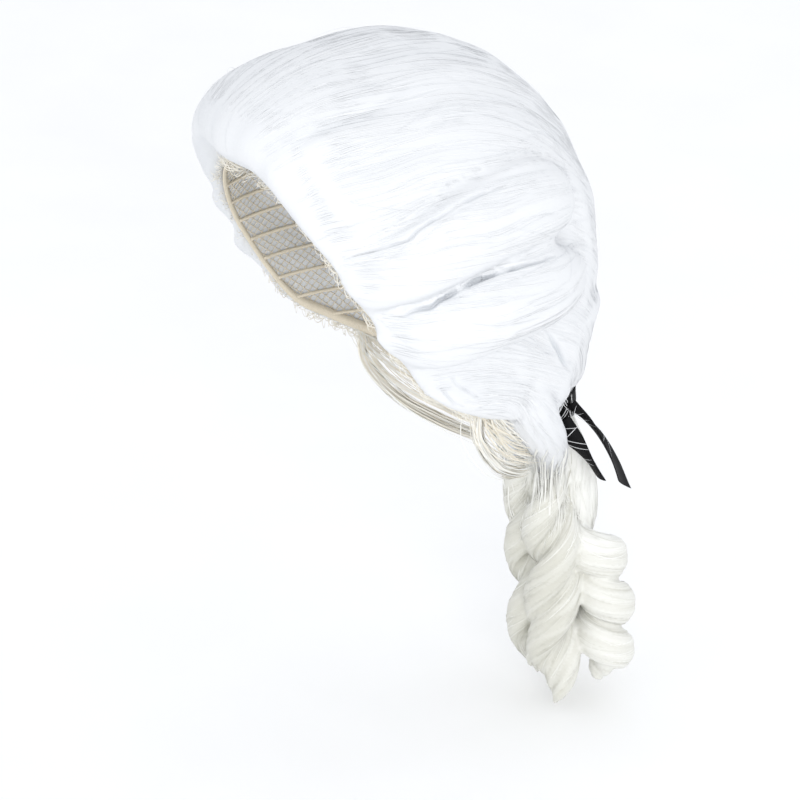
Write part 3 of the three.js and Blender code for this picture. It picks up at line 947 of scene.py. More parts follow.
def cut_finer(mesh):
    """The mesh with its faces cut finer along the creases."""
    points = points_of(mesh)
    near = np.zeros(len(points), bool)
    for crease in CREASES:
        near |= line_run(points, crease["path"])[1] < CREASE_FINE
    with mesh_work(mesh, mesh) as work:
        edges = [edge for edge in work.edges if all(near[vert.index] for vert in edge.verts)]
        bmesh.ops.subdivide_edges(work, edges=edges, cuts=CREASE_CUTS, use_grid_fill=True)
    return mesh


def gathered(points):
    """Share of hair drawn into the tail, the way it runs, its turn round the bundle and its step there."""
    step, far = line_run(points, GATHER["path"])
    middle, along, first, second = (rows[step] for rows in path_frames(GATHER["path"], CREASE_STEPS))
    off = on_left(points) - middle
    turn = np.arctan2(np.sum(off * second, axis=1), np.sum(off * first, axis=1))
    along[:, 0] *= np.sign(points[:, 0])
    share = (1 - smoothstep(far, *GATHER_NEAR)) * smoothstep(-points[:, 2], *GATHER_DROP)
    return share, along, turn, step


# Where the back end of the upper roll of the wearer's left sinks into the combed hair
ROLL_BACK = (89, 55, -70)
# Distances from the front and back ends of the rolls over which they are softened
FRONT_SOFT, BACK_SOFT = (14, 44), (8, 24)


def near_ends(points):
    """How near points lie to the ends of the rolls that sink into the hair, from 0 to 1."""
    folded = on_left(points)
    far = np.full(len(points), np.inf)
    for turn, drop, lift in ROLL_FRONTS:
        polar = polar_of(drop)
        middle = head_point(math.radians(turn), polar) + head_frame(math.radians(turn), polar)[0] * lift
        far = np.minimum(far, np.linalg.norm(folded - middle, axis=1))
    back = smoothstep(np.linalg.norm(folded - ROLL_BACK, axis=1), *BACK_SOFT)
    return np.maximum(1 - smoothstep(far, *FRONT_SOFT), 1 - back)


# Share of the band's radii that hair under it keeps to, and the height over which it widens again
PINCH_SHARE, PINCH_FADE = 0.95, 6.0
# Shares of the band's radii beyond which hair isn't drawn in
PINCH_REACH = (1.4, 1.9)


def pinched(points):
    """Points of the hair drawn in under the ribbon's turn round the tie."""
    off = (points[:, :2] - BAND_CENTRE[:2]) / BAND_RADII
    share = np.linalg.norm(off, axis=1)
    hold = 1 - smoothstep(np.abs(points[:, 2] - BAND_CENTRE[2]) - BAND_WIDTH / 2, 0, PINCH_FADE)
    hold = hold * (1 - smoothstep(share, *PINCH_REACH))
    squeeze = 1 - hold * (1 - np.minimum(1, PINCH_SHARE / np.maximum(share, 1e-6)))
    return np.column_stack([BAND_CENTRE[:2] + off * BAND_RADII * squeeze[:, None], points[:, 2]])


# Cell of the grown hair as a share of the hair mass cell
GROWN_CELL = 1.2
END_SMOOTHING = {"factor": 0.5, "iterations": 40, "vertex_group": "soft"}
# Distance from the rolls over which their comb gives way, and the facing over which hair counts as outer
ROLL_BLEND, OUTER_FACING = (0.5, 6), (-0.1, 0.3)
# Locks to half a turn of the comb, how far they stray, and the noise over which they fade in
COMB_LOCKS, COMB_STRAY, COMB_FADE = 21, 2.2, (0.25, 0.75)
# Patches of locks to a radian of roll and of swing, and how much finer the patches are where locks fade
PATCH_ROLL, PATCH_SWING, PATCH_FADE = 5, 1.6, 1.3
# Mean height of locks, and the girth at which their grooves are full, with their least share
LOCK_MEAN, FULL_GIRTH, LEAST_GROOVE = 0.6, 90, 0.15
# Tufts across a radian of roll, along a radian of swing, and their shear
COMB_FLOW = (90, 4.5, 31)
# Tufts across a radian of gathered hair, steps along it to one tuft, and their shear
GATHER_FLOW = (14, 40, 5)
# Tone of painted shade in the depth, the painted light that outer hair and lock crests add to it, and the
# painted shade that creases and dips take off
DEEP_TONE, LIT_TONE, LOCK_TONE, CREASE_TONE, DIP_TONE = 0.25, 0.2, 0.08, 0.25, 0.12
# How far above the middle of the tie the combed strands end, unless they are drawn into the tail
TIE_CLEAR, SOME_DRAWN, MOST_DRAWN = 3.0, 0.3, 0.8
# Size of the cells over which the comb wanders, and the most that it swings, in radians
SKIN_WANDER = (26, 0.22)


def comb_locks(roll, swing):
    """Height of the combed locks, which come and go from place to place."""
    patch = np.stack([roll * PATCH_ROLL + COMB_NOISE, swing * PATCH_SWING], axis=-1)
    locks = ridge(roll * COMB_LOCKS + COMB_STRAY * soft_noise(patch, 5))
    return locks * smoothstep(soft_noise(patch * PATCH_FADE, 6), *COMB_FADE)


def grown_mesh(rolls):
    """Crown, rolls and bundles grown into one mesh, softened at the ends of the rolls."""
    forms = [crown_base(), *rolls, *crease_fills(), *bundle(GATHER["path"], GATHER["half"])]
    mesh = hair_mass(joined(forms), sizes().voxel * GROWN_CELL, GROWN_ROUNDS)
    mesh = modified(mesh, ("SMOOTH", END_SMOOTHING), weights=near_ends(points_of(mesh)))
    return cut_finer(mesh)


def hair_skin():
    """Crown and rolls grown together and grooved by the comb."""

    def make():
        rolls = [mesh for name in ROLLS for mesh in roll_bases(name)]
        mesh = grown_mesh(rolls)
        points, normals = points_of(mesh), normals_of(mesh)
        tree = tree_of(rolls)
        rolled = 1 - smoothstep(np.array([tree.find_nearest(point)[3] for point in points]), *ROLL_BLEND)
        outer = smoothstep(dots(normals, unit(points - CROWN_COMB.heart)), *OUTER_FACING)
        places = [np.stack(comb.place(points)) for comb in (ROLL_COMB, CROWN_COMB)]
        roll, swing, reach = np.where(rolled > 0.5, *places)
        wide = comb_locks(roll, swing)
        girth = np.clip(reach * np.sin(swing) / FULL_GIRTH, LEAST_GROOVE, 1)
        relief = sizes().comb_depth / MM * girth * (wide - LOCK_MEAN)
        drawn, down, turn, step = gathered(points)
        ways = blended(CROWN_COMB.ways(points), ROLL_COMB.ways(points), rolled)
        ways = blended(ways, down, drawn)
        stray = GATHER_STRAY * soft_noise(points / GATHER_CELL + GATHER_NOISE, 4)
        lock = ridge(turn * GATHER_LOCKS + stray) - LOCK_MEAN
        relief = relief * outer * (1 - drawn) + GATHER_GROOVE * lock * drawn
        crease, dip = crease_depth(points, CREASES), crease_depth(points, DIPS)
        set_points(mesh, pinched(points + normals * (relief - crease - dip)[:, None]))
        tufts, run, shear = COMB_FLOW
        down_tufts, down_run, down_shear = GATHER_FLOW
        across = np.where(drawn > 0.5, turn * down_tufts, roll * tufts)
        along = np.where(drawn > 0.5, step / down_run + turn * down_shear, swing * run + roll * shear)
        set_point_values(mesh, "flow", np.stack([across, along, 0 * roll], axis=-1), vector=True)
        # Painted light on outer and gathered hair and on the crests of locks, painted shade in creases and
        # dips
        light = LIT_TONE * np.maximum(outer, drawn) + LOCK_TONE * wide * outer
        set_point_values(mesh, "tone", DEEP_TONE + light - CREASE_TONE * crease - DIP_TONE * dip)
        above = (points[:, 2] > TIE[2] + TIE_CLEAR) | (drawn > SOME_DRAWN)
        shown = ((outer > 0.5) & above | (drawn > MOST_DRAWN)) & (crease < CREASE_BARE)
        skin = Skin(mesh, wandered(ways, points, normals, *SKIN_WANDER), shown)
        skin.rolled, skin.drawn = rolled > 0.5, drawn > 0.5
        return skin

    return shape_of("skin", make)


def lay_strands(name, seed, count, rolled, length):
    """Strands over each half of the combed hair, either on the rolls or off them."""
    skin, rng = hair_skin(), np.random.default_rng(seed)
    for side, sign in SIDES:
        where = (skin.rolled == rolled) & (skin.points[:, 0] * sign > 0)
        new_strands(f"{name}_{side}", skin.strands(rng, count, where, length))


class WIG_OT_cap(bpy.types.Operator):
    """Makes the open net cap with its weft rows and edge tape"""

    bl_idname = "wig.cap"
    bl_label = "Net cap"

    def execute(self, context):
        new_piece("cap_net", self.net_mesh(), "net", ("cap",))
        new_piece("cap_wefts", self.weft_rows(), "net")
        new_piece("cap_edge_tape", self.edge_tape(), "net")
        return {"FINISHED"}

    # Bands of net from the top down: polar angle in degrees where each starts, and its columns
    NET_BANDS = ((6, 40), (26, 110), (58, 216))
    NET_FOOT = 152
    NET_LIFT = 0.75
    NET_THREAD = 0.55
    LEAST_ROWS = 3

    def net_mesh(self):
        """Diamonds of thread over the head, in bands that are sewn to each other under weft rows."""
        points, faces = [], []
        step = sizes().net_cell / MM / HEAD_HEIGHT
        starts = [math.radians(start) for start, _ in self.NET_BANDS]
        ends = [*starts[1:], math.radians(self.NET_FOOT)]
        for (_, columns), begin, end in zip(self.NET_BANDS, starts, ends):
            rows = max(self.LEAST_ROWS, int((end - begin) / step))
            turn, polar = np.meshgrid(round_angles(columns), np.linspace(begin, end, rows + 1))
            hem = hem_of(turn)
            level = np.minimum(polar, hem)
            grid = head_point(turn, level) + head_frame(turn, level)[0] * self.NET_LIFT
            inside = polar <= hem
            first = len(points)
            points.extend(grid.reshape(-1, 3).tolist())
            for row in range(1, rows):
                for column in range(row % 2 + 1, columns + row % 2 + 1, 2):
                    left, middle, right = ((column + side) % columns for side in (-1, 0, 1))
                    ring = ((row, left), (row + 1, middle), (row, right), (row - 1, middle))
                    if all(inside[place] for place in ring):
                        faces.append([first + r * columns + c for r, c in ring])
        mesh = mesh_of(points, faces)
        with mesh_work(mesh, mesh) as work:
            loose = [vert for vert in work.verts if not vert.link_faces]
            bmesh.ops.delete(work, geom=loose, context="VERTS")
            bmesh.ops.recalc_face_normals(work, faces=work.faces)
            thread = {"use_replace": True, "use_boundary": True, "use_even_offset": True}
            bmesh.ops.wireframe(work, faces=work.faces, thickness=self.NET_THREAD * MM, **thread)
        return mesh

    # Polar angles in degrees of the weft rows, and how far short of the hairline they end, in radians
    WEFT_LEVELS, WEFT_SHORT = range(10, 146, 8), 0.03
    WEFT_SIZE = (1.7, 0.8)
    LEAST_WEFT = 12
    HEM_STEPS = 360

    def weft_rows(self):
        """Sewn rows of hair weft round the inside of the cap."""
        made = []
        turn = round_angles(self.HEM_STEPS)
        hem = hem_of(turn)
        for level in self.WEFT_LEVELS:
            polar = math.radians(level)
            kept = np.flatnonzero(polar < hem - self.WEFT_SHORT)
            whole = len(kept) == len(turn)
            for run in np.split(kept, np.flatnonzero(np.diff(kept) > 1) + 1):
                if len(run) > self.LEAST_WEFT:
                    made.append(self.tape(turn[run], np.full(len(run), polar), self.WEFT_SIZE, whole))
        return joined(made)

    TAPE_SIZE = (6.0, 0.7)

    def edge_tape(self):
        """Tape that binds the edge of the net along the hairline."""
        turn = round_angles(self.HEM_STEPS)
        inset = self.TAPE_SIZE[0] / 2 / HEAD_HEIGHT
        return self.tape(turn, hem_of(turn) - inset, self.TAPE_SIZE, closed=True)

    # Gap behind a tape, and the size and rate of the puckers that its stitches make
    TAPE_GAP, PUCKER, PUCKER_RATE = 0.05, 0.12, 2.4

    def tape(self, turn, polar, size, closed):
        """A flat strip on the inside of the cap, puckered a little by its stitches."""
        wide, thick = size
        outward, hemward, _ = head_frame(turn, polar)
        middle = head_point(turn, polar) + outward * (thick / 2 + self.TAPE_GAP)
        middle = middle + hemward * self.PUCKER * np.sin(np.arange(len(turn)) * self.PUCKER_RATE)[:, None]
        corners = [
            middle + hemward * across * wide / 2 + outward * through * thick / 2
            for across, through in ((-1, -1), (1, -1), (1, 1), (-1, 1))
        ]
        return tube_mesh(np.stack(corners, axis=1), closed)


class WIG_OT_crown(bpy.types.Operator):
    """Makes the mass of combed hair with its rolls, and the strands that lie on the crown"""

    bl_idname = "wig.crown"
    bl_label = "Combed crown"

    SEED = 21
    STRAND_LENGTH = (45, 110)

    def execute(self, context):
        rolls = [f"side_roll_{name}_{side}" for name in ROLLS for side, _ in SIDES]
        new_piece("crown_hair_mass", hair_skin().mesh, "hair", ("crown_hair", *rolls))
        lay_strands("crown_strands", self.SEED, sizes().crown_strands, False, self.STRAND_LENGTH)
        return {"FINISHED"}


class WIG_OT_side_rolls(bpy.types.Operator):
    """Makes the strands along the two rolled curls on each side"""

    bl_idname = "wig.side_rolls"
    bl_label = "Side rolls"

    SEED = 31
    STRAND_LENGTH = (30, 80)

    def execute(self, context):
        lay_strands("side_roll_strands", self.SEED, sizes().roll_strands, True, self.STRAND_LENGTH)
        return {"FINISHED"}


LOCK_STEPS = 26


class WIG_OT_nape_locks(bpy.types.Operator):
    """Makes the loose locks that loop under the nape and the thin hair that hangs behind them"""

    bl_idname = "wig.nape_locks"
    bl_label = "Nape locks"

    SEEDS = {"left": 51, "right": 52}
    LOCK_STRANDS, LOCK_HALVES, LOCK_TONES = 110, (0.22, 0.5), (0.45, 0.25)
    # How far a lock's strands swirl round it, the size and rate of their waves, and their stray at the end
    SWIRL, LOCK_WAVES, STRAY = 1.2, (0.7, 5), 1.6
    THIN_STRANDS, THIN_HALVES, THIN_TONES = 90, (0.14, 0.34), (0.35, 0.3)
    # How the thin hair is shared out between tight and slack, its waves, and its shift in each direction
    SLACK, THIN_WAVES, SHIFT, SHIFT_SHARES = (1.1, 1.3), (1.1, 6), 1.6, np.array((1.0, 2.6, 0.6))
    WAVE_STARTS = (0, 6)

    def execute(self, context):
        for side, seed in self.SEEDS.items():
            rng = np.random.default_rng(seed)
            meshes = [self.lock(rng), self.thin_hair(rng)]
            lock, thin = map(mirrored, meshes) if side == "right" else meshes
            new_strands(f"nape_lock_{side}_strands", lock, "nape", (f"nape_lock_{side}",))
            new_strands(f"nape_thin_hair_{side}", thin, "nape")
        return {"FINISHED"}

    def waves(self, rng, count, size, rate):
        """Waves of random size and start along strands."""
        sway = rng.normal(0, size, (count, 1, 3))
        start = rng.uniform(*self.WAVE_STARTS, count)[:, None]
        return sway * np.sin(np.linspace(0, 1, LOCK_STEPS) * rate + start)[..., None]

    def lock(self, rng):
        """Strands that keep to the lock's flat oval and stray a little further towards its end."""
        count = self.LOCK_STRANDS
        middle = smooth_path(NAPE_LOCK, LOCK_STEPS)
        half = smooth_path(np.array(NAPE_LOCK_HALF)[:, None], LOCK_STEPS)
        along = unit(np.gradient(middle, axis=0))
        flat = unit(SIDEWAYS - along * (along @ SIDEWAYS)[:, None])
        wide = np.cross(along, flat)
        share = np.linspace(0, 1, LOCK_STEPS)
        angle, spread = rng.uniform(0, 2 * math.pi, count), np.sqrt(rng.uniform(0, 1, count))
        swirl = angle[:, None] + share * rng.uniform(-self.SWIRL, self.SWIRL, count)[:, None]
        wave = self.waves(rng, count, *self.LOCK_WAVES)
        stray = rng.normal(0, self.STRAY, (count, 1, 3)) * share[None, :, None] ** 2
        across = (spread[:, None] * np.cos(swirl))[..., None] * NAPE_LOCK_HALF_THICK * flat
        over = (spread[:, None] * np.sin(swirl))[..., None] * half * wide
        paths = middle + across + over + wave * share[None, :, None] + stray
        return random_strands(rng, paths, unit(across + over + 1e-3), self.LOCK_HALVES, *self.LOCK_TONES)

    def thin_hair(self, rng):
        """Strands that hang from the nape towards the tie with more or less slack."""
        count = self.THIN_STRANDS
        tight, slack = smooth_path(NAPE_HEM, LOCK_STEPS), smooth_path(NAPE_LOCK, LOCK_STEPS)
        part = rng.beta(*self.SLACK, count)[:, None, None]
        wave = self.waves(rng, count, *self.THIN_WAVES)
        shift = rng.normal(0, self.SHIFT, (count, 1, 3)) * self.SHIFT_SHARES
        paths = tight * (1 - part) + slack * part + wave + shift
        facing = np.broadcast_to(SIDEWAYS, paths.shape)
        return random_strands(rng, paths, facing, self.THIN_HALVES, *self.THIN_TONES)


def ringlet_line(ringlet, share):
    """Middle line of one ringlet."""
    top, end = ringlet["top"], ringlet["end"]
    z = top + (end - top) * share
    spread = RINGLET_START + (1 - RINGLET_START) * smoothstep(top - z, 0, RINGLET_SPREAD)
    drift = TAIL_DRIFT * (TIE[2] - z) / (TIE[2] - end)
    return np.stack([TIE[0] + ringlet["x"] * spread, TIE[1] + ringlet["y"] * spread + drift, z], axis=-1)


# Swell of a ringlet's root, what it gains and by which share; where its tip starts, its share and its loss
ROOT_SWELL, ROOT_GAIN, ROOT_END = 0.35, 0.65, 0.34
RINGLET_TIP, RINGLET_TIP_SHARE, TIP_LOSS = 0.78, 0.22, 0.93


def ringlet_swell(share):
    """Swell of a ringlet from its root to its tip."""
    tip = np.clip((share - RINGLET_TIP) / RINGLET_TIP_SHARE, 0, 1)
    return (ROOT_SWELL + ROOT_GAIN * smoothstep(share, 0, ROOT_END)) * np.sqrt(1 - TIP_LOSS * tip**2)


def lock_place(ringlet, share, around):
    """Place on the skin of one lock of a ringlet."""
    high = LOCK_SPACE * (ringlet["top"] - ringlet["end"]) / (ringlet["turns"] * ringlet["locks"])
    swell = ringlet_swell(share)
    outward = level_ways(np.radians(ringlet["start"] + ringlet["hand"] * 360 * ringlet["turns"] * share))
    centre = ringlet_line(ringlet, share) + outward * (ringlet["coil"] * swell)[..., None]
    level = np.array((0.0, 0.0, -ringlet["hand"]))
    point = centre + outward * (ringlet["deep"] * swell * np.cos(around))[..., None]
    return point + level * (high * swell * np.sin(around))[..., None]


class WIG_OT_ponytail(bpy.types.Operator):
    """Makes the tail of ringlets that hangs from the tie"""

    bl_idname = "wig.ponytail"
    bl_label = "Tail of ringlets"

    SEED = 61
    VOXEL = 1.3
    SOFT_ROUNDS = 4
    STRANDS = {"length": (25, 60), "lift": (0, 0.45), "lean": 0.08, "spread": 0.16}
    COIL_STEPS, COIL_SIDES = 36, 24
    NECK_RINGS, NECK_SIDES = 24, 40

    def execute(self, context):
        rng = np.random.default_rng(self.SEED)
        locks = []
        for ringlet in RINGLETS:
            for lock in range(ringlet["locks"]):
                start, end = ringlet["start"] + lock * LOCK_TURN, ringlet["end"] + lock * LOCK_STAGGER
                locks.append(dict(ringlet, start=start, end=end))
        forms = [self.neck_mesh(), *map(self.heart_mesh, RINGLETS), *map(self.lock_mesh, locks)]
        skin = self.combed(hair_mass(joined(forms), self.VOXEL * MM, self.SOFT_ROUNDS), locks)
        strands = skin.strands(rng, sizes().tail_strands, skin.shown, **self.STRANDS)
        new_piece("ponytail_mass", skin.mesh, "warm", ("ponytail",))
        new_strands("ponytail_strands", strands, "warm")
        new_strands("tie_hair", self.tie_hair(rng, skin), "warm")
        new_strands("gathered_hair", self.gathered_hair(rng, skin), "warm")
        return {"FINISHED"}

    # Tone of the hair that falls over the tie and onto the tail, painted lighter than the crown's shade
    # leaves it
    GATHERED, GATHERED_HALVES, TIE_HALVES, FALLEN_TONE = 260, (0.22, 0.42), (0.2, 0.42), 0.6
    # Drop of the strands from the gathered hair onto the tail, and how far they go back and inward
    GATHERED_DROP, GATHERED_BACK, GATHERED_INWARD = (32, 62), 10, 0.55
    # Parts of the drop at which they touch the hair, and their rise off it
    GATHERED_PARTS, GATHERED_RISE = (0.35, 0.7, 1.0), 0.5

    def gathered_hair(self, rng, tail):
        """Strands that run on from the gathered hair over the tail, so that the two grow together."""
        skin = hair_skin()
        low = skin.drawn & skin.shown & (skin.points[:, 2] < TIE[2])
        start = skin.points[rng.choice(np.flatnonzero(low), self.GATHERED)]
        paths, facings = [], []
        for place, drop in zip(start, rng.uniform(*self.GATHERED_DROP, self.GATHERED)):
            line = [place]
            for part in self.GATHERED_PARTS:
                inward = np.array((1 - self.GATHERED_INWARD * part, 1, 1))
                below = place * inward + np.array((0, self.GATHERED_BACK, -drop)) * part
                hits = (surface.tree.find_nearest(below) for surface in (skin, tail))
                found, facing, _, _ = min(hits, key=lambda hit: hit[3])
                line.append(np.array(found + facing * self.GATHERED_RISE))
            paths.append(smooth_path(np.array(line), STRAND_STEPS))
            facings.append(np.broadcast_to(np.array(facing), (STRAND_STEPS, 3)))
        return random_strands(rng, paths, facings, self.GATHERED_HALVES, self.FALLEN_TONE)

    TIE_HAIRS = 320
    # Turns round the band, in degrees, between which hair falls over it
    TIE_TURNS = (-150, -52)
    # How far out and how high the hair passes: under the crown, over both edges of the band, down the tail
    TIE_COURSE = ((11, -186), (3, -197), (2.2, -205), (2.2, -214), (2, -228), (0, -248))
    # Spread of its sway in radians, of its heights and of its places, and its rise off the tail
    TIE_SWAY, TIE_HEIGHTS, TIE_PLACES, TIE_RISE = 0.12, 1.5, 0.4, (0.1, 0.6)

    def tie_hair(self, rng, tail):
        """Hair that falls from the crown over the front of the tie and onto the tail."""
        paths, facings = [], []
        for turn in np.radians(rng.uniform(*self.TIE_TURNS, self.TIE_HAIRS)):
            sway = rng.normal(0, self.TIE_SWAY)
            line = []
            for step, (out, z) in enumerate(self.TIE_COURSE):
                angle = turn + sway * step / len(self.TIE_COURSE)
                around = np.array((math.cos(angle), math.sin(angle)))
                level = BAND_CENTRE[:2] + (BAND_RADII + out) * around
                line.append((*level, z + rng.normal(0, self.TIE_HEIGHTS)))
            line = np.array(line) + rng.normal(0, self.TIE_PLACES, (len(line), 3))
            line[0] = np.array(hair_skin().tree.find_nearest(line[0])[0])
            for step in (-2, -1):
                place, facing, _, _ = tail.tree.find_nearest(line[step])
                line[step] = np.array(place + facing * rng.uniform(*self.TIE_RISE))
            paths.append(smooth_path(line, STRAND_STEPS))
            facings.append(np.broadcast_to(level_ways(turn), (STRAND_STEPS, 3)))
        return random_strands(rng, paths, facings, self.TIE_HALVES, self.FALLEN_TONE)

    def neck_mesh(self):
        """The smooth bundle that leaves the tie."""
        z = np.linspace(NECK["z"][0], NECK["z"][-1], self.NECK_RINGS)
        rising = np.array(NECK["z"])[::-1]
        tables = [np.array(NECK[key])[::-1] for key in ("half_width", "front", "back")]
        half, front, back = (course(rising, table)(z) for table in tables)
        angle = round_angles(self.NECK_SIDES)
        x = half[:, None] * np.sin(angle)
        y = ((front + back) / 2)[:, None] - ((back - front) / 2)[:, None] * np.cos(angle)
        return tube_mesh(np.stack([x, y, z[:, None] + 0 * x], axis=-1))

    def heart_mesh(self, ringlet):
        """The solid heart that a ringlet winds round."""
        share = np.linspace(0, 1, self.COIL_STEPS)[:, None]
        angle = round_angles(self.COIL_SIDES)[None, :]
        radius = HEART_SHARE * ringlet["coil"] * ringlet_swell(share)
        return tube_mesh(ringlet_line(ringlet, share + 0 * angle) + radius[..., None] * level_ways(angle))

    def lock_mesh(self, lock):
        """One lock of a ringlet, wound round its heart."""
        share = np.linspace(0, 1, int(lock["turns"] * self.COIL_STEPS))[:, None]
        around = round_angles(self.COIL_SIDES)[None, :]
        return tube_mesh(lock_place(lock, share + 0 * around, around + 0 * share))

    # Rows and columns of places on each lock, and the nudges that tell how the lock runs there
    LOCK_ROWS, LOCK_COLUMNS, ROW_NUDGE, COLUMN_NUDGE = 110, 26, 0.004, 0.02
    # How far apart the turns round two locks are counted, so that their grooves differ
    LOCKS_APART = 9

    def lock_runs(self, locks):
        """Places on the locks, their turn, share and top, and the ways along and over the lock there."""
        share = np.linspace(self.ROW_NUDGE, 1 - self.ROW_NUDGE, self.LOCK_ROWS)[:, None]
        around = np.linspace(-math.pi, math.pi, self.LOCK_COLUMNS, endpoint=False)[None, :]
        share, around = share + 0 * around, around + 0 * share
        rows = []
        for index, lock in enumerate(locks):
            ahead, behind = (lock_place(lock, share + way * self.ROW_NUDGE, around) for way in (1, -1))
            above, below = (lock_place(lock, share, around + way * self.COLUMN_NUDGE) for way in (1, -1))
            run = np.stack([around + self.LOCKS_APART * index, share, lock["top"] + 0 * share], axis=-1)
            along = (ahead - behind) / (2 * self.ROW_NUDGE)
            over = (above - below) / (2 * self.COLUMN_NUDGE)
            rows.append((lock_place(lock, share, around), run, along, over))
        return (np.stack(column).reshape(-1, 3) for column in zip(*rows))

    GROOVE = 0.45
    # Coarse and fine grooves to half a turn of a lock, with their drift and height, and their mean
    LOCK_GROOVES, LOCK_MEAN = ((4, 2, 1), (10, 4, 0.6)), 0.8
    # Cells of that drift to a radian and to the length of a lock
    DRIFT_CELLS = np.array((1.0, 9.0))
    # Grooves to half a turn of the neck of the tail, their slant and their mean
    NECK_GROOVES, NECK_SLANT, NECK_MEAN = 9, 0.02, 0.5
    # Height over the top of a ringlet between which it gives way to the neck, and how hair runs there
    NECK_FADE, NECK_WAY = (-42, -12), np.array((0.0, 0.25, -1.0))
    # Tufts to a radian of a lock and of the neck, along a lock, and their shear
    LOCK_TUFTS, NECK_TUFTS, TUFT_RUNS, TUFT_SHEAR = 12, 25, 7, 0.37
    # Tone of painted shade in the depth, and what grooves (painted shade in them, lighter on crests), the
    # neck (painted light), the upper tail and its rear side (painted light) add to it
    DEEP, GROOVE_TONE, NECK_TONE, UPPER_TONE, REAR_TONE = 0.06, 0.14, 0.55, 0.22, 0.34
    UPPER, REAR = (-300, -245), (96, 126)
    # Size of the cells over which the comb wanders, and the most that it swings, in radians
    WANDER = (20, 0.15)

    def grooves(self, run, turned, height, neck):
        """Grooves along the locks, which give way to upright ones on the neck."""
        drift = soft_noise(run[:, :2] * self.DRIFT_CELLS + TAIL_NOISE, 15)
        turn = run[:, 0]
        locks = sum(high * ridge(turn * count + far * drift) for count, far, high in self.LOCK_GROOVES)
        upright = ridge(turned * self.NECK_GROOVES + height * self.NECK_SLANT) - self.NECK_MEAN
        return (locks - self.LOCK_MEAN) * (1 - neck) + upright * neck

    def combed(self, mass, locks):
        """The mass grooved and combed along its locks, as the nearest place on any lock runs."""
        places, runs, alongs, overs = self.lock_runs(locks)
        tree = place_tree(places)
        points, normals = points_of(mass), normals_of(mass)
        nearest = [tree.find(point)[1] for point in points]
        run, along, over = runs[nearest], alongs[nearest], overs[nearest]
        step = points - places[nearest]
        run[:, 0] += np.sum(step * over, axis=1) / np.sum(over * over, axis=1)
        run[:, 1] += np.sum(step * along, axis=1) / np.sum(along * along, axis=1)
        neck = smoothstep(points[:, 2] - run[:, 2], *self.NECK_FADE)
        turned = np.arctan2(points[:, 1] - NECK_MIDDLE, points[:, 0])
        groove = self.grooves(run, turned, points[:, 2], neck)
        set_points(mass, pinched(points + normals * (self.GROOVE * groove)[:, None]))
        across = run[:, 0] * self.LOCK_TUFTS * (1 - neck) + turned * self.NECK_TUFTS * neck
        down = run[:, 1] * self.TUFT_RUNS + across * self.TUFT_SHEAR
        set_point_values(mass, "flow", np.stack([across, down, 0 * across], axis=-1), vector=True)
        # Painted light on the neck of the tail and on its rear side, so that the side towards the wearer's
        # neck stays creamier and darker as painted shade; the upper tail is paler too
        pale = self.NECK_TONE * neck + self.UPPER_TONE * smoothstep(points[:, 2], *self.UPPER) * (1 - neck)
        pale = pale + self.REAR_TONE * smoothstep(points[:, 1], *self.REAR)
        set_point_values(mass, "tone", self.DEEP + self.GROOVE_TONE * groove + pale)
        ways = blended(unit(along), self.NECK_WAY, neck)
        shown = points[:, 2] < NECK["z"][0] - 1
        return Skin(mass, wandered(ways, points, normals, *self.WANDER), shown)


RIBBON_ACROSS = 9
TAIL_STEPS = 40
BAND_STEPS = 72


def tail_frames(table):
    """Middle line of a free end of ribbon, with its directions along, across and off the ribbon."""
    middle = smooth_path(table["path"], TAIL_STEPS)
    along = unit(np.gradient(middle, axis=0))
    heading = np.radians(smooth_path(np.array(table["heading"], float)[:, None], TAIL_STEPS)[:, 0])
    wide = square_to(level_ways(heading), along)
    return middle, along, wide, np.cross(along, wide)


def band_place(angle, out, z):
    """Places round the tie at a distance out from the oval of the band."""
    x = BAND_CENTRE[0] + (BAND_RADII[0] + out) * np.cos(angle)
    y = BAND_CENTRE[1] + (BAND_RADII[1] + out) * np.sin(angle)
    return np.stack(np.broadcast_arrays(x, y, z), axis=-1)


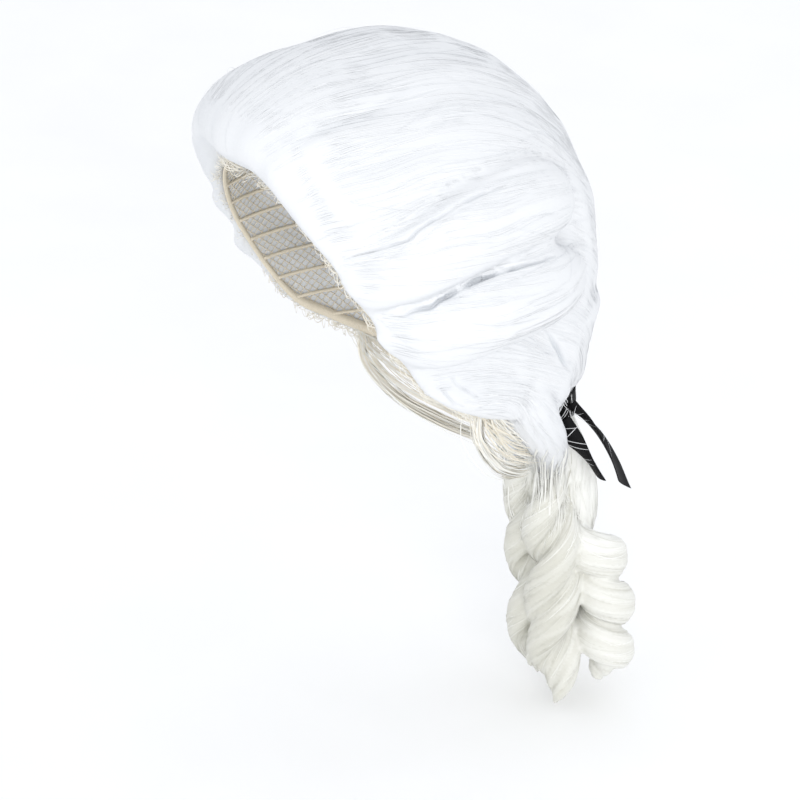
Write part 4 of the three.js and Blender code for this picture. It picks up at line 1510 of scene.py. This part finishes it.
class WIG_OT_ribbon(bpy.types.Operator):
    """Makes the satin ribbon: its turn round the tie, its knot and its two tails"""

    bl_idname = "wig.ribbon"
    bl_label = "Ribbon"

    def execute(self, context):
        band = new_piece("ribbon_band_satin", self.band_mesh(), "satin", ("ribbon_band",))
        knot = new_piece("ribbon_knot_satin", self.knot_mesh(), "satin", ("ribbon_knot",))
        girth = self.band_girth()
        for name in TAILS:
            mesh, length = self.tail_mesh(TAILS[name])
            node = f"ribbon_tail_{name}"
            tail = new_piece(f"{node}_satin", mesh, "satin", (node,))
        return {"FINISHED"}

    def strip(self, surface, facing, width, closed=False):
        """A thin closed strip of ribbon over a grid of places, with its length along the first UV axis."""
        count, across = surface.shape[:2]
        back = (surface - facing * RIBBON_THICK / 2)[:, ::-1]
        ring = np.concatenate([surface + facing * RIBBON_THICK / 2, back], axis=1)
        sides = 2 * across
        mesh = mesh_of(ring.reshape(-1, 3), tube_faces(count, sides, closed))
        run = np.repeat(run_of(surface[:, across // 2]), sides) * MM
        there_and_back = np.concatenate([np.arange(across), np.arange(across)[::-1]])
        over = np.tile(there_and_back, count) * width / across * MM
        layer = mesh.uv_layers.new(name="ribbon")
        corner = np.empty(len(mesh.loops), np.int32)
        mesh.loops.foreach_get("vertex_index", corner)
        places = np.stack([run[corner], over[corner]], axis=-1)
        layer.data.foreach_set("uv", places.astype(np.float32).ravel())
        return faced_outward(mesh)

    GIRTH_POINTS = 721

    def band_girth(self):
        angle = np.linspace(0, 2 * math.pi, self.GIRTH_POINTS)
        line = np.stack([BAND_RADII[0] * np.cos(angle), BAND_RADII[1] * np.sin(angle)], axis=-1)
        return np.linalg.norm(np.diff(line, axis=0), axis=1).sum()

    # Depth of the band's folds, their number, slant and fade, and the distance of the band from its oval
    FOLD, FOLDS, FOLD_SLANT, FOLD_FADE, BAND_STAND = 0.3, 9, 7, 3, 0.5

    def band_mesh(self):
        angle = round_angles(BAND_STEPS)[:, None]
        across = np.linspace(-0.5, 0.5, RIBBON_ACROSS)[None, :]
        wave = np.sin(angle * self.FOLDS + across * self.FOLD_SLANT) * np.cos(across * self.FOLD_FADE)
        out = self.BAND_STAND + self.FOLD * wave
        surface = band_place(angle, out, BAND_CENTRE[2] + across * BAND_WIDTH)
        return self.strip(surface, level_ways(angle + 0 * across), BAND_WIDTH, closed=True)

    KNOT_CUTS, KNOT_ROUNDS = 11, 6
    # Depth, rate and slant of the knot's folds
    KNOT_FOLDS = ((0.35, 7, 1.5), (0.25, 13, -2))
    # How far the knot is drawn in at its middle, over which share of its height
    KNOT_WAIST, KNOT_WAIST_SHARE = 0.22, 0.5
    # Share of the folds that shows behind, and what they lose towards the ends
    KNOT_BEHIND, KNOT_FADE = 0.2, 0.5

    def knot_mesh(self):
        """The flat knot: a soft block, pinched into folds where the ribbon passes through itself."""
        thick, wide, high = KNOT_SIZE
        middle = band_place(KNOT_TURN, KNOT_STAND + thick / 2, BAND_CENTRE[2])
        mesh = bpy.data.meshes.new("knot")
        with mesh_work(mesh) as work:
            bmesh.ops.create_cube(work, size=1)
            bmesh.ops.subdivide_edges(work, edges=work.edges, cuts=self.KNOT_CUTS, use_grid_fill=True)
            bmesh.ops.scale(work, vec=KNOT_SIZE, verts=work.verts)
            for _ in range(self.KNOT_ROUNDS):
                bmesh.ops.smooth_vert(
                    work, verts=work.verts, factor=0.5, use_axis_x=True, use_axis_y=True, use_axis_z=True
                )
            for vert in work.verts:
                y, z = vert.co.y / (wide / 2), vert.co.z / (high / 2)
                fold = sum(deep * math.sin(rate * y + slant * z) for deep, rate, slant in self.KNOT_FOLDS)
                vert.co.y *= 1 - self.KNOT_WAIST * math.exp(-((z / self.KNOT_WAIST_SHARE) ** 2))
                shown = 1 if vert.co.x > 0 else self.KNOT_BEHIND
                vert.co.x += fold * shown * (1 - self.KNOT_FADE * z * z)
            turn = Matrix.Rotation(KNOT_TURN, 3, "Z")
            bmesh.ops.rotate(work, verts=work.verts, cent=(0, 0, 0), matrix=turn)
            bmesh.ops.translate(work, verts=work.verts, vec=middle)
            bmesh.ops.scale(work, verts=work.verts, vec=(MM, MM, MM))
            bmesh.ops.recalc_face_normals(work, faces=work.faces)
            layer = work.loops.layers.uv.new("ribbon")
            for face in work.faces:
                for loop in face.loops:
                    loop[layer].uv = (loop.vert.co.z, loop.vert.co.y)
        return mesh

    # Least curl of a tail as a share of its width, and the part of its length over which the cut slants
    FLATTEST, CUT_PART = 0.995, (0.6, 1)

    def tail_mesh(self, table):
        """A free end of ribbon, curled across its width where it is pinched, and cut aslant."""
        middle, along, wide, face = tail_frames(table)
        width = smooth_path(np.array(table["width"])[:, None], TAIL_STEPS)[:, 0]
        curl = np.array([self.curl_of(min(w / TAIL_WIDTH, self.FLATTEST)) for w in width])[:, None]
        across = np.linspace(-1, 1, RIBBON_ACROSS)[None, :]
        radius = TAIL_WIDTH / 2 / curl
        sine, cosine = np.sin(curl * across), np.cos(curl * across)
        side, rise = radius * sine, radius * (cosine - np.cos(curl) / 2 - 0.5)
        end = table["cut"] * smoothstep(np.linspace(0, 1, TAIL_STEPS), *self.CUT_PART)
        surface = middle[:, None] + side[..., None] * wide[:, None] + rise[..., None] * face[:, None]
        surface = surface + (across * end[:, None])[..., None] * along[:, None]
        facing = cosine[..., None] * face[:, None] + sine[..., None] * wide[:, None]
        length = np.linalg.norm(np.diff(middle, axis=0), axis=1).sum()
        return self.strip(surface, unit(facing), TAIL_WIDTH), length

    CURL_RANGE, CURL_ROUNDS = (1e-3, 2.6), 40

    def curl_of(self, share):
        """Half angle of an arc whose chord is a share of its length."""
        low, high = self.CURL_RANGE
        for _ in range(self.CURL_ROUNDS):
            middle = (low + high) / 2
            low, high = (middle, high) if math.sin(middle) / middle > share else (low, middle)
        return middle


LOOSE_STEPS = 10


class WIG_OT_loose_hairs(bpy.types.Operator):
    """Makes the fine loose hairs along the hairline, off the combed hair and across the ribbon"""

    bl_idname = "wig.loose_hairs"
    bl_label = "Loose hairs"

    SEED = 71
    WISPS, STRAYS, BAND_HAIRS, TAIL_HAIRS = 760, 150, 20, 6
    STRAY_STRANDS = {"length": (20, 60), "lift": (0.4, 2.2), "lean": 0.4, "width": 0.25}

    def execute(self, context):
        rng = np.random.default_rng(self.SEED)
        skin = hair_skin()
        new_strands("hairline_wisps", self.hairline(rng, self.WISPS), "nape")
        new_strands("stray_hairs", skin.strands(rng, self.STRAYS, skin.shown, **self.STRAY_STRANDS))
        across = [self.over_ribbon(rng, self.BAND_HAIRS), self.over_tails(rng, self.TAIL_HAIRS)]
        new_strands("ribbon_hairs", joined(across))
        return {"FINISHED"}

    # How far wisps stand off the head, reach out, drop over the hem and sweep back, and their bend
    WISP_START, WISP_REACH, WISP_DROP, WISP_SWEEP, WISP_BEND = 1.2, (1, 9), (0.5, 8), (2, 14), 2.6
    # Lean of the wisps' upper sides towards the hem
    WISP_LEAN, WISP_HALVES, WISP_TONE = 0.3, (0.12, 0.22), 0.3

    def hairline(self, rng, count):
        """Short fine hairs that leave the edge of the cap and bend back over the hair."""
        turn = rng.uniform(0, 2 * math.pi, count)
        polar = hem_of(turn)
        outward, hemward, sideways = (way[:, None] for way in head_frame(turn, polar))
        start = head_point(turn, polar)[:, None] + outward * self.WISP_START
        reach = rng.uniform(*self.WISP_REACH, count)[:, None, None]
        drop = rng.uniform(*self.WISP_DROP, count)[:, None, None]
        sweep = (np.where(turn < math.pi, 1, -1) * rng.uniform(*self.WISP_SWEEP, count))[:, None, None]
        t = np.linspace(0, 1, LOOSE_STEPS)[None, :, None]
        paths = start + outward * reach * t + hemward * drop * np.sin(t * self.WISP_BEND)
        paths = paths + sideways * sweep * t * t
        facing = np.broadcast_to(unit(outward + hemward * self.WISP_LEAN), paths.shape)
        return random_strands(rng, paths, facing, self.WISP_HALVES, self.WISP_TONE)

    # Angles round the band at which hairs slip over it, their drift, and the heights of their ends
    SLIP_ANGLES, SLIP_DRIFT, SLIP_FROM, SLIP_TO = (-1.3, 0.5), (-0.8, 0.8), (-199, -192), (-226, -212)
    # Distance of these hairs from the band, their arch, and the half angle of the knot that they clear
    SLIP_OUT, SLIP_ARCH, KNOT_HALF_ANGLE = 1.6, 0.8, 0.35
    RIBBON_HALVES, RIBBON_TONE = (0.12, 0.2), 0.6

    def over_ribbon(self, rng, count):
        """Hairs that slip from above the tie over the ribbon and its knot."""
        t = np.linspace(0, 1, LOOSE_STEPS)[None, :]
        angle = rng.uniform(*self.SLIP_ANGLES, count)[:, None]
        angle = angle + t * rng.uniform(*self.SLIP_DRIFT, count)[:, None]
        z = rng.uniform(*self.SLIP_FROM, count)[:, None] * (1 - t)
        z = z + rng.uniform(*self.SLIP_TO, count)[:, None] * t
        knot = np.exp(-(((angle - KNOT_TURN) / self.KNOT_HALF_ANGLE) ** 2)) * KNOT_SIZE[0]
        paths = band_place(angle, self.SLIP_OUT + knot + self.SLIP_ARCH * np.sin(t * math.pi), z)
        return random_strands(rng, paths, level_ways(angle), self.RIBBON_HALVES, self.RIBBON_TONE)

    # Part of each tail's length over which hairs are caught, their slant, and their reach in widths
    CAUGHT, CAUGHT_SLANT, CAUGHT_REACH = (0.06, 0.62), (-0.9, 0.9), (0.5, 0.8)
    # Rise of these hairs over the middle of the ribbon, and how far they sink towards their ends
    CAUGHT_RISE, CAUGHT_SINK = 2.2, 1.4

    def over_tails(self, rng, count):
        """Hairs caught across the outer side of each free end of the ribbon."""
        t = np.linspace(-1, 1, LOOSE_STEPS)[None, :, None]
        made = []
        for table in TAILS.values():
            place = (rng.uniform(*self.CAUGHT, count) * TAIL_STEPS).astype(int)
            middle, along, wide, face = (rows[place][:, None] for rows in tail_frames(table))
            outer = face * np.sign(face[..., :1])
            slant = rng.uniform(*self.CAUGHT_SLANT, (count, 1, 1))
            reach = rng.uniform(*self.CAUGHT_REACH, (count, 1, 1)) * TAIL_WIDTH
            rise = outer * (self.CAUGHT_RISE - self.CAUGHT_SINK * t * t)
            paths = middle + (wide + along * slant) * t * reach + rise
            facing = np.broadcast_to(outer, paths.shape)
            made.append(random_strands(rng, paths, facing, self.RIBBON_HALVES, self.RIBBON_TONE))
        return joined(made)


CAMERA_AZIMUTH = math.radians(60)
CAMERA_ELEVATION = math.radians(19.5)
CAMERA_FAR = 2.0
CAMERA_AIM = Vector((0.0548, -0.0183, -0.1598))
CAMERA_LENS = 171.9
SENSOR = 36.0
FLOOR_GAP = 2 * MM


class WIG_OT_stage(bpy.types.Operator):
    """Makes the pale floor, the soft lights and the camera"""

    bl_idname = "wig.stage"
    bl_label = "Stage"

    # Name, place in metres, watts, size in metres and tint of each soft light
    LIGHTS = (
        ("key", (2.3, -0.9, 0.6), 20.0, 1.2, "#FFFDF9"),
        ("fill", (0.2, -2.4, 0.3), 2.0, 1.6, "#F8FAFF"),
    )
    WORLD_TINT, WORLD_STRENGTH = "#FAFCFF", 1.02
    FLOOR_HALF, FLOOR_TINTS = 6, ("#F9F9F9", "#FEFEFE")

    def execute(self, context):
        scene = context.scene
        self.floor(scene)
        self.lights(scene)
        self.camera(scene)
        scene.view_settings.view_transform = "Standard"
        return {"FINISHED"}

    def floor(self, scene):
        mesh = bpy.data.meshes.new("floor")
        with mesh_work(mesh) as work:
            bmesh.ops.create_grid(work, x_segments=2, y_segments=2, size=self.FLOOR_HALF)
            bmesh.ops.translate(work, vec=(0, 0, CAD_BOX[0].z - FLOOR_GAP), verts=work.verts)
        material, tree, shader = new_material("painted_floor", {"Roughness": 0.8})
        speck = noise_of(tree, add_node(tree, "ShaderNodeTexCoord").outputs["Object"], {"Scale": 12.0})
        shade_by(tree, shader, speck, [linear(tint) for tint in self.FLOOR_TINTS])
        mesh.materials.append(material)
        floor = bpy.data.objects.new("floor", mesh)
        scene.collection.objects.link(floor)
        floor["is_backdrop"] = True

    def lights(self, scene):
        world = bpy.data.worlds.new("studio")
        world.use_nodes = True
        back = world.node_tree.nodes["Background"]
        back.inputs["Color"].default_value = (*linear(self.WORLD_TINT), 1)
        back.inputs["Strength"].default_value = self.WORLD_STRENGTH
        scene.world = world
        for name, place, energy, size, tint in self.LIGHTS:
            light = bpy.data.lights.new(name, "AREA")
            light.energy = energy
            light.size = size
            light.color = linear(tint)
            lamp = bpy.data.objects.new(name, light)
            lamp.location = place
            lamp.rotation_euler = (CAMERA_AIM - Vector(place)).to_track_quat("-Z", "Y").to_euler()
            scene.collection.objects.link(lamp)

    def camera(self, scene):
        lens = bpy.data.cameras.new("photo_view")
        lens.sensor_width = SENSOR
        lens.lens = CAMERA_LENS
        camera = bpy.data.objects.new("photo_view", lens)
        level, up = math.cos(CAMERA_ELEVATION), math.sin(CAMERA_ELEVATION)
        way = Vector((math.sin(CAMERA_AZIMUTH) * level, -math.cos(CAMERA_AZIMUTH) * level, up))
        camera.location = way * CAMERA_FAR
        camera.rotation_euler = (CAMERA_AIM - camera.location).to_track_quat("-Z", "Y").to_euler()
        scene.collection.objects.link(camera)
        scene.camera = camera


STEPS = (
    WIG_OT_stage,
    WIG_OT_cap,
    WIG_OT_crown,
    WIG_OT_side_rolls,
    WIG_OT_nape_locks,
    WIG_OT_ponytail,
    WIG_OT_ribbon,
    WIG_OT_loose_hairs,
)


class WIG_PT_panel(bpy.types.Panel):
    """Lists the wig's sizes, colours and pieces"""

    bl_idname = "WIG_PT_panel"
    bl_label = "Baroque wig"
    bl_space_type = "VIEW_3D"
    bl_region_type = "UI"
    bl_category = "Wig"

    def draw(self, context):
        for group in (context.scene.wig_sizes, context.scene.wig_colours):
            box = self.layout.box()
            for name in group.__annotations__:
                box.prop(group, name)
        for step in STEPS:
            self.layout.operator(step.bl_idname)


CLASSES = (WigSizes, WigColours, *STEPS, WIG_PT_panel)


def register():
    for kind in CLASSES:
        bpy.utils.register_class(kind)
    bpy.types.Scene.wig_sizes = bpy.props.PointerProperty(type=WigSizes)
    bpy.types.Scene.wig_colours = bpy.props.PointerProperty(type=WigColours)


def unregister():
    del bpy.types.Scene.wig_sizes
    del bpy.types.Scene.wig_colours
    for kind in reversed(CLASSES):
        bpy.utils.unregister_class(kind)


def main():
    register()
    bpy.ops.wig.stage()
    bpy.ops.wig.cap()
    bpy.ops.wig.crown()
    bpy.ops.wig.side_rolls()
    bpy.ops.wig.nape_locks()
    bpy.ops.wig.ponytail()
    bpy.ops.wig.ribbon()
    bpy.ops.wig.loose_hairs()
    boxes = {"cad": CAD_BOX, "visual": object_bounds()}
    {name: [list(corner) for corner in box] for name, box in boxes.items()}


if __name__ == "__main__":
    main()
